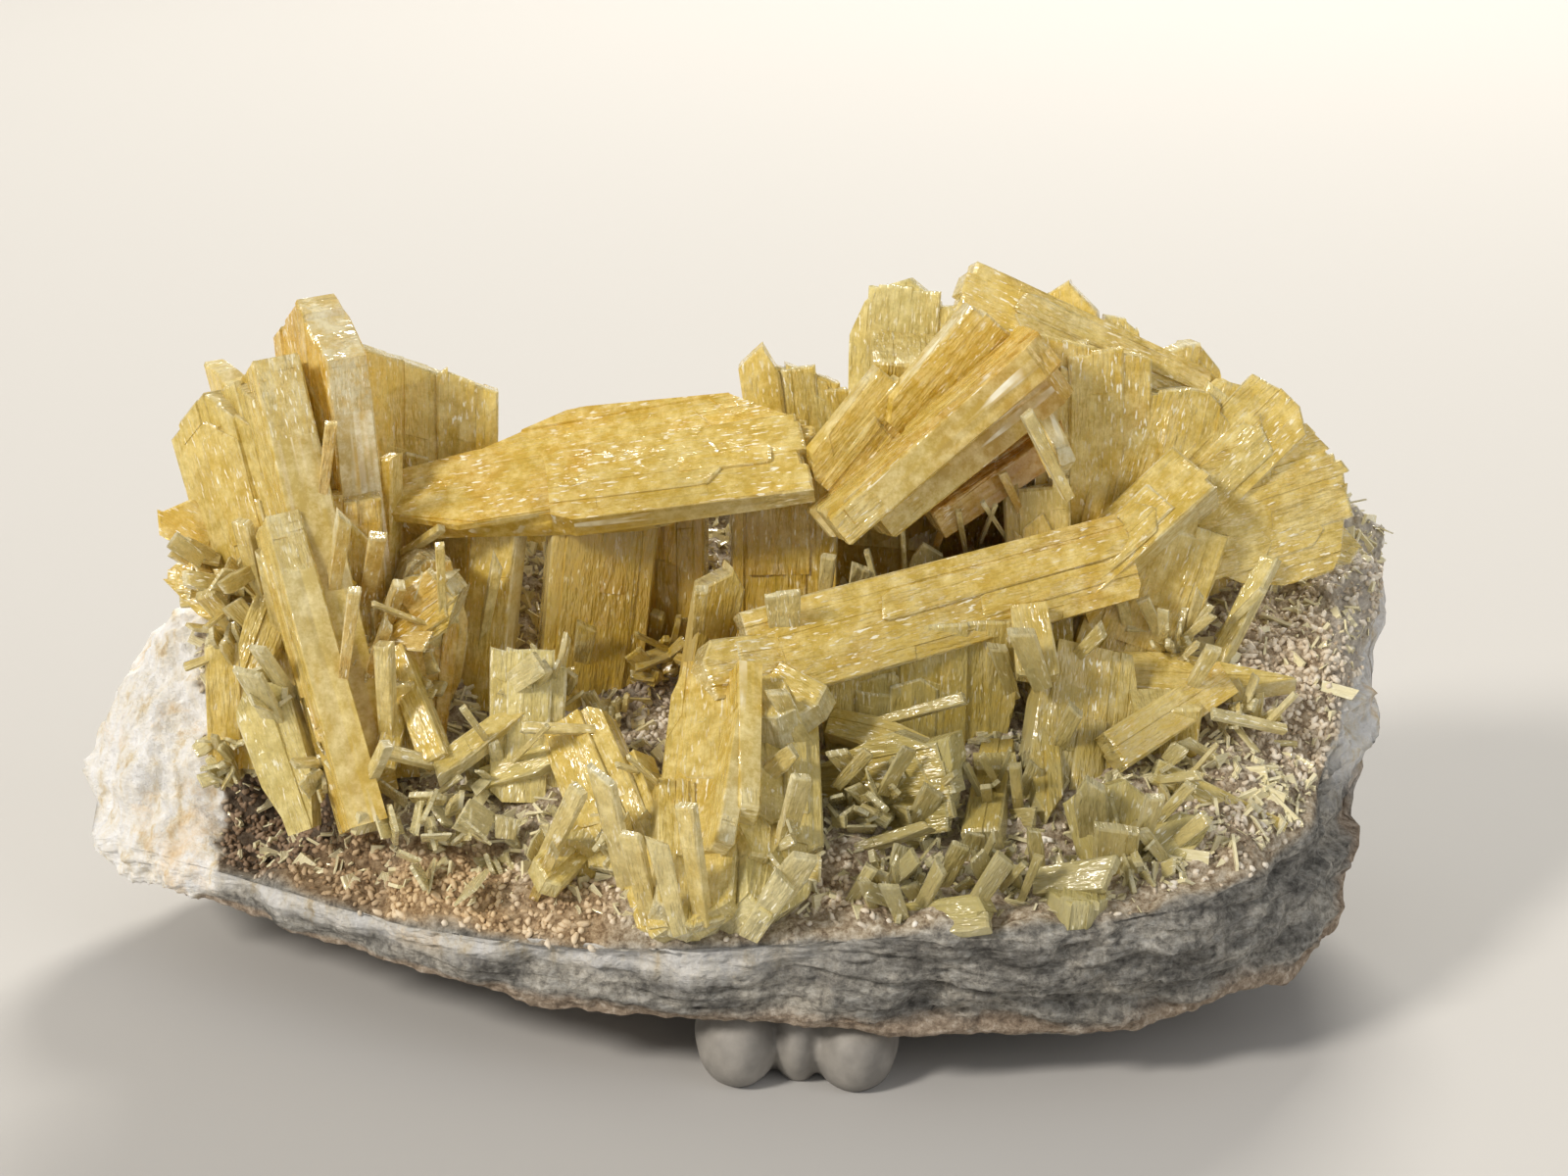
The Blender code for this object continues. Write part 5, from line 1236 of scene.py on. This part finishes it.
def prototype_grains(name):
    """Bent worm-like grains about a millimetre long."""
    collection = bpy.data.collections.new(name)
    chance = random.Random(GRAIN_SEED)
    for number in range(GRAIN_KINDS):
        shape = bmesh.new()
        bmesh.ops.create_uvsphere(shape, u_segments=5, v_segments=4, radius=0.5 * MM)
        bend = chance.uniform(-0.5, 0.5)
        stretch = chance.uniform(1.0, 2.3)
        for vertex in shape.verts:
            x = vertex.co.x * stretch
            vertex.co = Vector((x, vertex.co.y * 0.8 + bend * x * x / MM, vertex.co.z * 0.8))
        mesh = mesh_from(shape, f"{name}_{number}")
        mesh.shade_smooth()
        collection.objects.link(bpy.data.objects.new(mesh.name, mesh))
    return collection


def drop(collection):
    for obj in list(collection.objects):
        bpy.data.objects.remove(obj, do_unlink=True)
    bpy.data.collections.remove(collection)


# Putty

# Lobes of putty: middle and half sizes.
PUTTY_LOBES = (
    ((0.3, -25.0, 4.2), (4.9, 8.6, 6.0)),
    ((7.2, -24.0, 4.4), (3.4, 8.0, 6.2)),
    ((13.6, -25.5, 3.8), (5.2, 8.8, 5.8)),
    ((7.0, -22.0, 4.0), (9.0, 7.0, 5.8)),
)
PUTTY_SKIN = 0.45
PUTTY_SOFTENING = 4
DENT_WIDTH = 3.5
DENT_DEPTH = 0.25
PUTTY_PROUD = 1.2


def make_putty(finish):
    """Lobes pressed together, remeshed into one skin, smoothed, and flattened where they stand."""
    shape = bmesh.new()
    for centre, half in PUTTY_LOBES:
        size = Matrix.Diagonal((half[0] * MM, half[1] * MM, half[2] * MM, 1.0))
        bmesh.ops.create_uvsphere(shape, u_segments=32, v_segments=20, radius=1.0,
                                  matrix=Matrix.Translation(to_model(*centre)) @ size)
    putty = mesh_object("pressed_putty", mesh_from(shape, "pressed_putty"))
    remesh = putty.modifiers.new("One skin", "REMESH")
    remesh.mode = "VOXEL"
    remesh.voxel_size = PUTTY_SKIN * MM
    soften = putty.modifiers.new("Pressed smooth", "SMOOTH")
    soften.iterations = PUTTY_SOFTENING
    skin = evaluated_mesh(putty)
    putty.modifiers.clear()
    putty.data = skin
    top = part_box("mounting_putty")[1].z
    for vertex in skin.vertices:
        dent = noise.noise(vertex.co / (DENT_WIDTH * MM)) * DENT_DEPTH * MM
        vertex.co += vertex.normal * dent
        vertex.co.z = min(max(vertex.co.z, 0.0), top + PUTTY_PROUD * MM)
    skin.materials.clear()
    skin.materials.append(finish)
    skin.shade_smooth()
    return putty


# Camera, floor and lights

CAMERA_ELEVATION = math.radians(18.0)
CAMERA_DISTANCE = 360.0
CAMERA_TARGET = (5.6, 0.0, 49.5)
CAMERA_LENS = 70.0
LIGHT_TARGET = (0, 0, 35)
# Round lights, in metres and watts: place, width, power and colour.
LIGHTS = {
    "key light": ((-1.6, -1.25, 1.45), 0.5, 47.0, "#fff8ee"),
    "fill light": ((1.5, -1.2, 0.9), 1.5, 8.0, "#fbfcff"),
    "back light": ((0.3, 1.35, 1.2), 0.6, 28.0, "#fffaf0"),
}
ROOM_COLOUR = "#f5f4f2"
ROOM_STRENGTH = 0.46
PAPER_COLOUR = "#bfbdba"
# The sheet in metres, seen from its side: where it starts, where its bend starts, and how high it ends.
SHEET_HALF_WIDTH = 4.0
SHEET_START = -3.0
BEND_START = 1.2
BEND_RADIUS = 1.0
SHEET_TOP = 4.0


def look_from(obj, position, target):
    obj.location = position
    obj.rotation_euler = (target - position).to_track_quat("-Z", "Y").to_euler()


def add_area_light(name, position, size, watts, colour):
    light = bpy.data.lights.new(name, "AREA")
    light.shape = "DISK"
    light.size = size
    light.energy = watts
    light.color = linear(colour)[:3]
    obj = bpy.data.objects.new(name, light)
    bpy.context.scene.collection.objects.link(obj)
    look_from(obj, Vector(position), to_model(*LIGHT_TARGET))


def paper_sweep():
    """A sheet of paper that lies flat and curves up far behind."""
    profile = [(SHEET_START, 0.0), (BEND_START, 0.0)]
    profile += [(BEND_START + BEND_RADIUS * math.sin(a), BEND_RADIUS * (1.0 - math.cos(a)))
                for a in np.linspace(0.1, math.pi / 2, 14)]
    profile.append((BEND_START + BEND_RADIUS, SHEET_TOP))
    verts = [(x, y, z) for y, z in profile for x in (-SHEET_HALF_WIDTH, SHEET_HALF_WIDTH)]
    faces = [(2 * i, 2 * i + 1, 2 * i + 3, 2 * i + 2) for i in range(len(profile) - 1)]
    mesh = bpy.data.meshes.new("floor")
    mesh.from_pydata(verts, [], faces)
    mesh.shade_smooth()
    return mesh_object("floor", mesh)


def make_studio():
    scene = bpy.context.scene
    target = to_model(*CAMERA_TARGET)
    camera = bpy.data.cameras.new("camera")
    camera.lens = CAMERA_LENS
    camera.clip_start = 0.01
    eye = bpy.data.objects.new("camera", camera)
    scene.collection.objects.link(eye)
    away = Vector((0, -math.cos(CAMERA_ELEVATION), math.sin(CAMERA_ELEVATION))) * CAMERA_DISTANCE * MM
    look_from(eye, target + away, target)
    scene.camera = eye
    scene.view_settings.view_transform = "Standard"
    floor = paper_sweep()
    made, tree, _ = new_material("pale paper sweep")
    shader = add(tree, SURFACE, None, Base_Color=linear(PAPER_COLOUR), Roughness=0.9)
    add(tree, OUTPUT, None, Surface=shader)
    floor.data.materials.append(made)
    world = bpy.data.worlds.new("soft room")
    world.use_nodes = True
    room = world.node_tree.nodes["Background"].inputs
    room["Color"].default_value = linear(ROOM_COLOUR)
    room["Strength"].default_value = ROOM_STRENGTH
    scene.world = world
    for name, setting in LIGHTS.items():
        add_area_light(name, *setting)


# The whole specimen

def hand_over(piece, slot, *replaced):
    """Tells the frame that a piece moves with the specimen, and the solids that it stands for. The slot, its
    finish, is not used.
    """
    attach(piece, "root")
    if replaced:
        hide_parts(*replaced)


ROCK = layered_rock()
BARITE = barite("honey barite", GREENISH, HONEY, AMBER, 0.5)
DRUSE = barite("fine druse barite", "#f7f3e0", "#f3e8bc", "#dfbd70", 0.12)
PALE_BARITE = barite("pale druse barite", "#f4e9b4", "#f2d97f", "#e4ae48", 0.5)
CRUST = crust_grains()
PUTTY = mounting_putty()

rock = make_rock(ROCK)
hand_over(rock, "rock", "matrix")

for number, (node, rows) in enumerate(BLADES.items()):
    maker = Crystals(node + "_blades", SEED * 100 + number)
    for row in rows:
        maker.add_blade(*row)
        if row[2] >= OVERGROWN_WIDTH:
            maker.add_overgrowths(*row)
    hand_over(maker.finish(BARITE), "barite", node)

maker = Crystals("small_blades", SEED)
for row in SMALL_BLADES:
    maker.add_blade(*row)
hand_over(maker.finish(PALE_BARITE), "barite")
maker = Crystals("sprays", SEED + 1)
for spray in SPRAYS:
    maker.add_spray(*spray)
hand_over(maker.finish(PALE_BARITE), "barite")

# What grows all over the crust: its prototypes, finish and slot, how many on a square metre, their smallest
# and largest scale, how far they lean in radians, the attribute that says where, and the seed.
surface = growing_surface(rock)
for name, prototypes, finish, slot, amount, smallest, largest, lean, where, seed in (
    ("druse_blades", prototype_blades("druse_blade"), DRUSE, "barite", 500000.0, 0.3, 1.15, 1.1, "blades", 3),
    ("needles", prototype_blades("needle"), DRUSE, "barite", 400000.0, 0.3, 1.1, 1.3, "blades", 11),
    ("crust_grains", prototype_grains("grain"), CRUST, "rock", 1900000.0, 0.3, 1.0, 1.1, "grains", 19),
):
    piece = scattered(name, surface.copy(), prototypes, finish, Per_square_metre=amount, Smallest=smallest,
                      Largest=largest, Lean=lean, Where=where, Seed=seed)
    drop(prototypes)
    hand_over(piece, slot)

hand_over(make_putty(PUTTY), "putty", "mounting_putty")

make_studio()
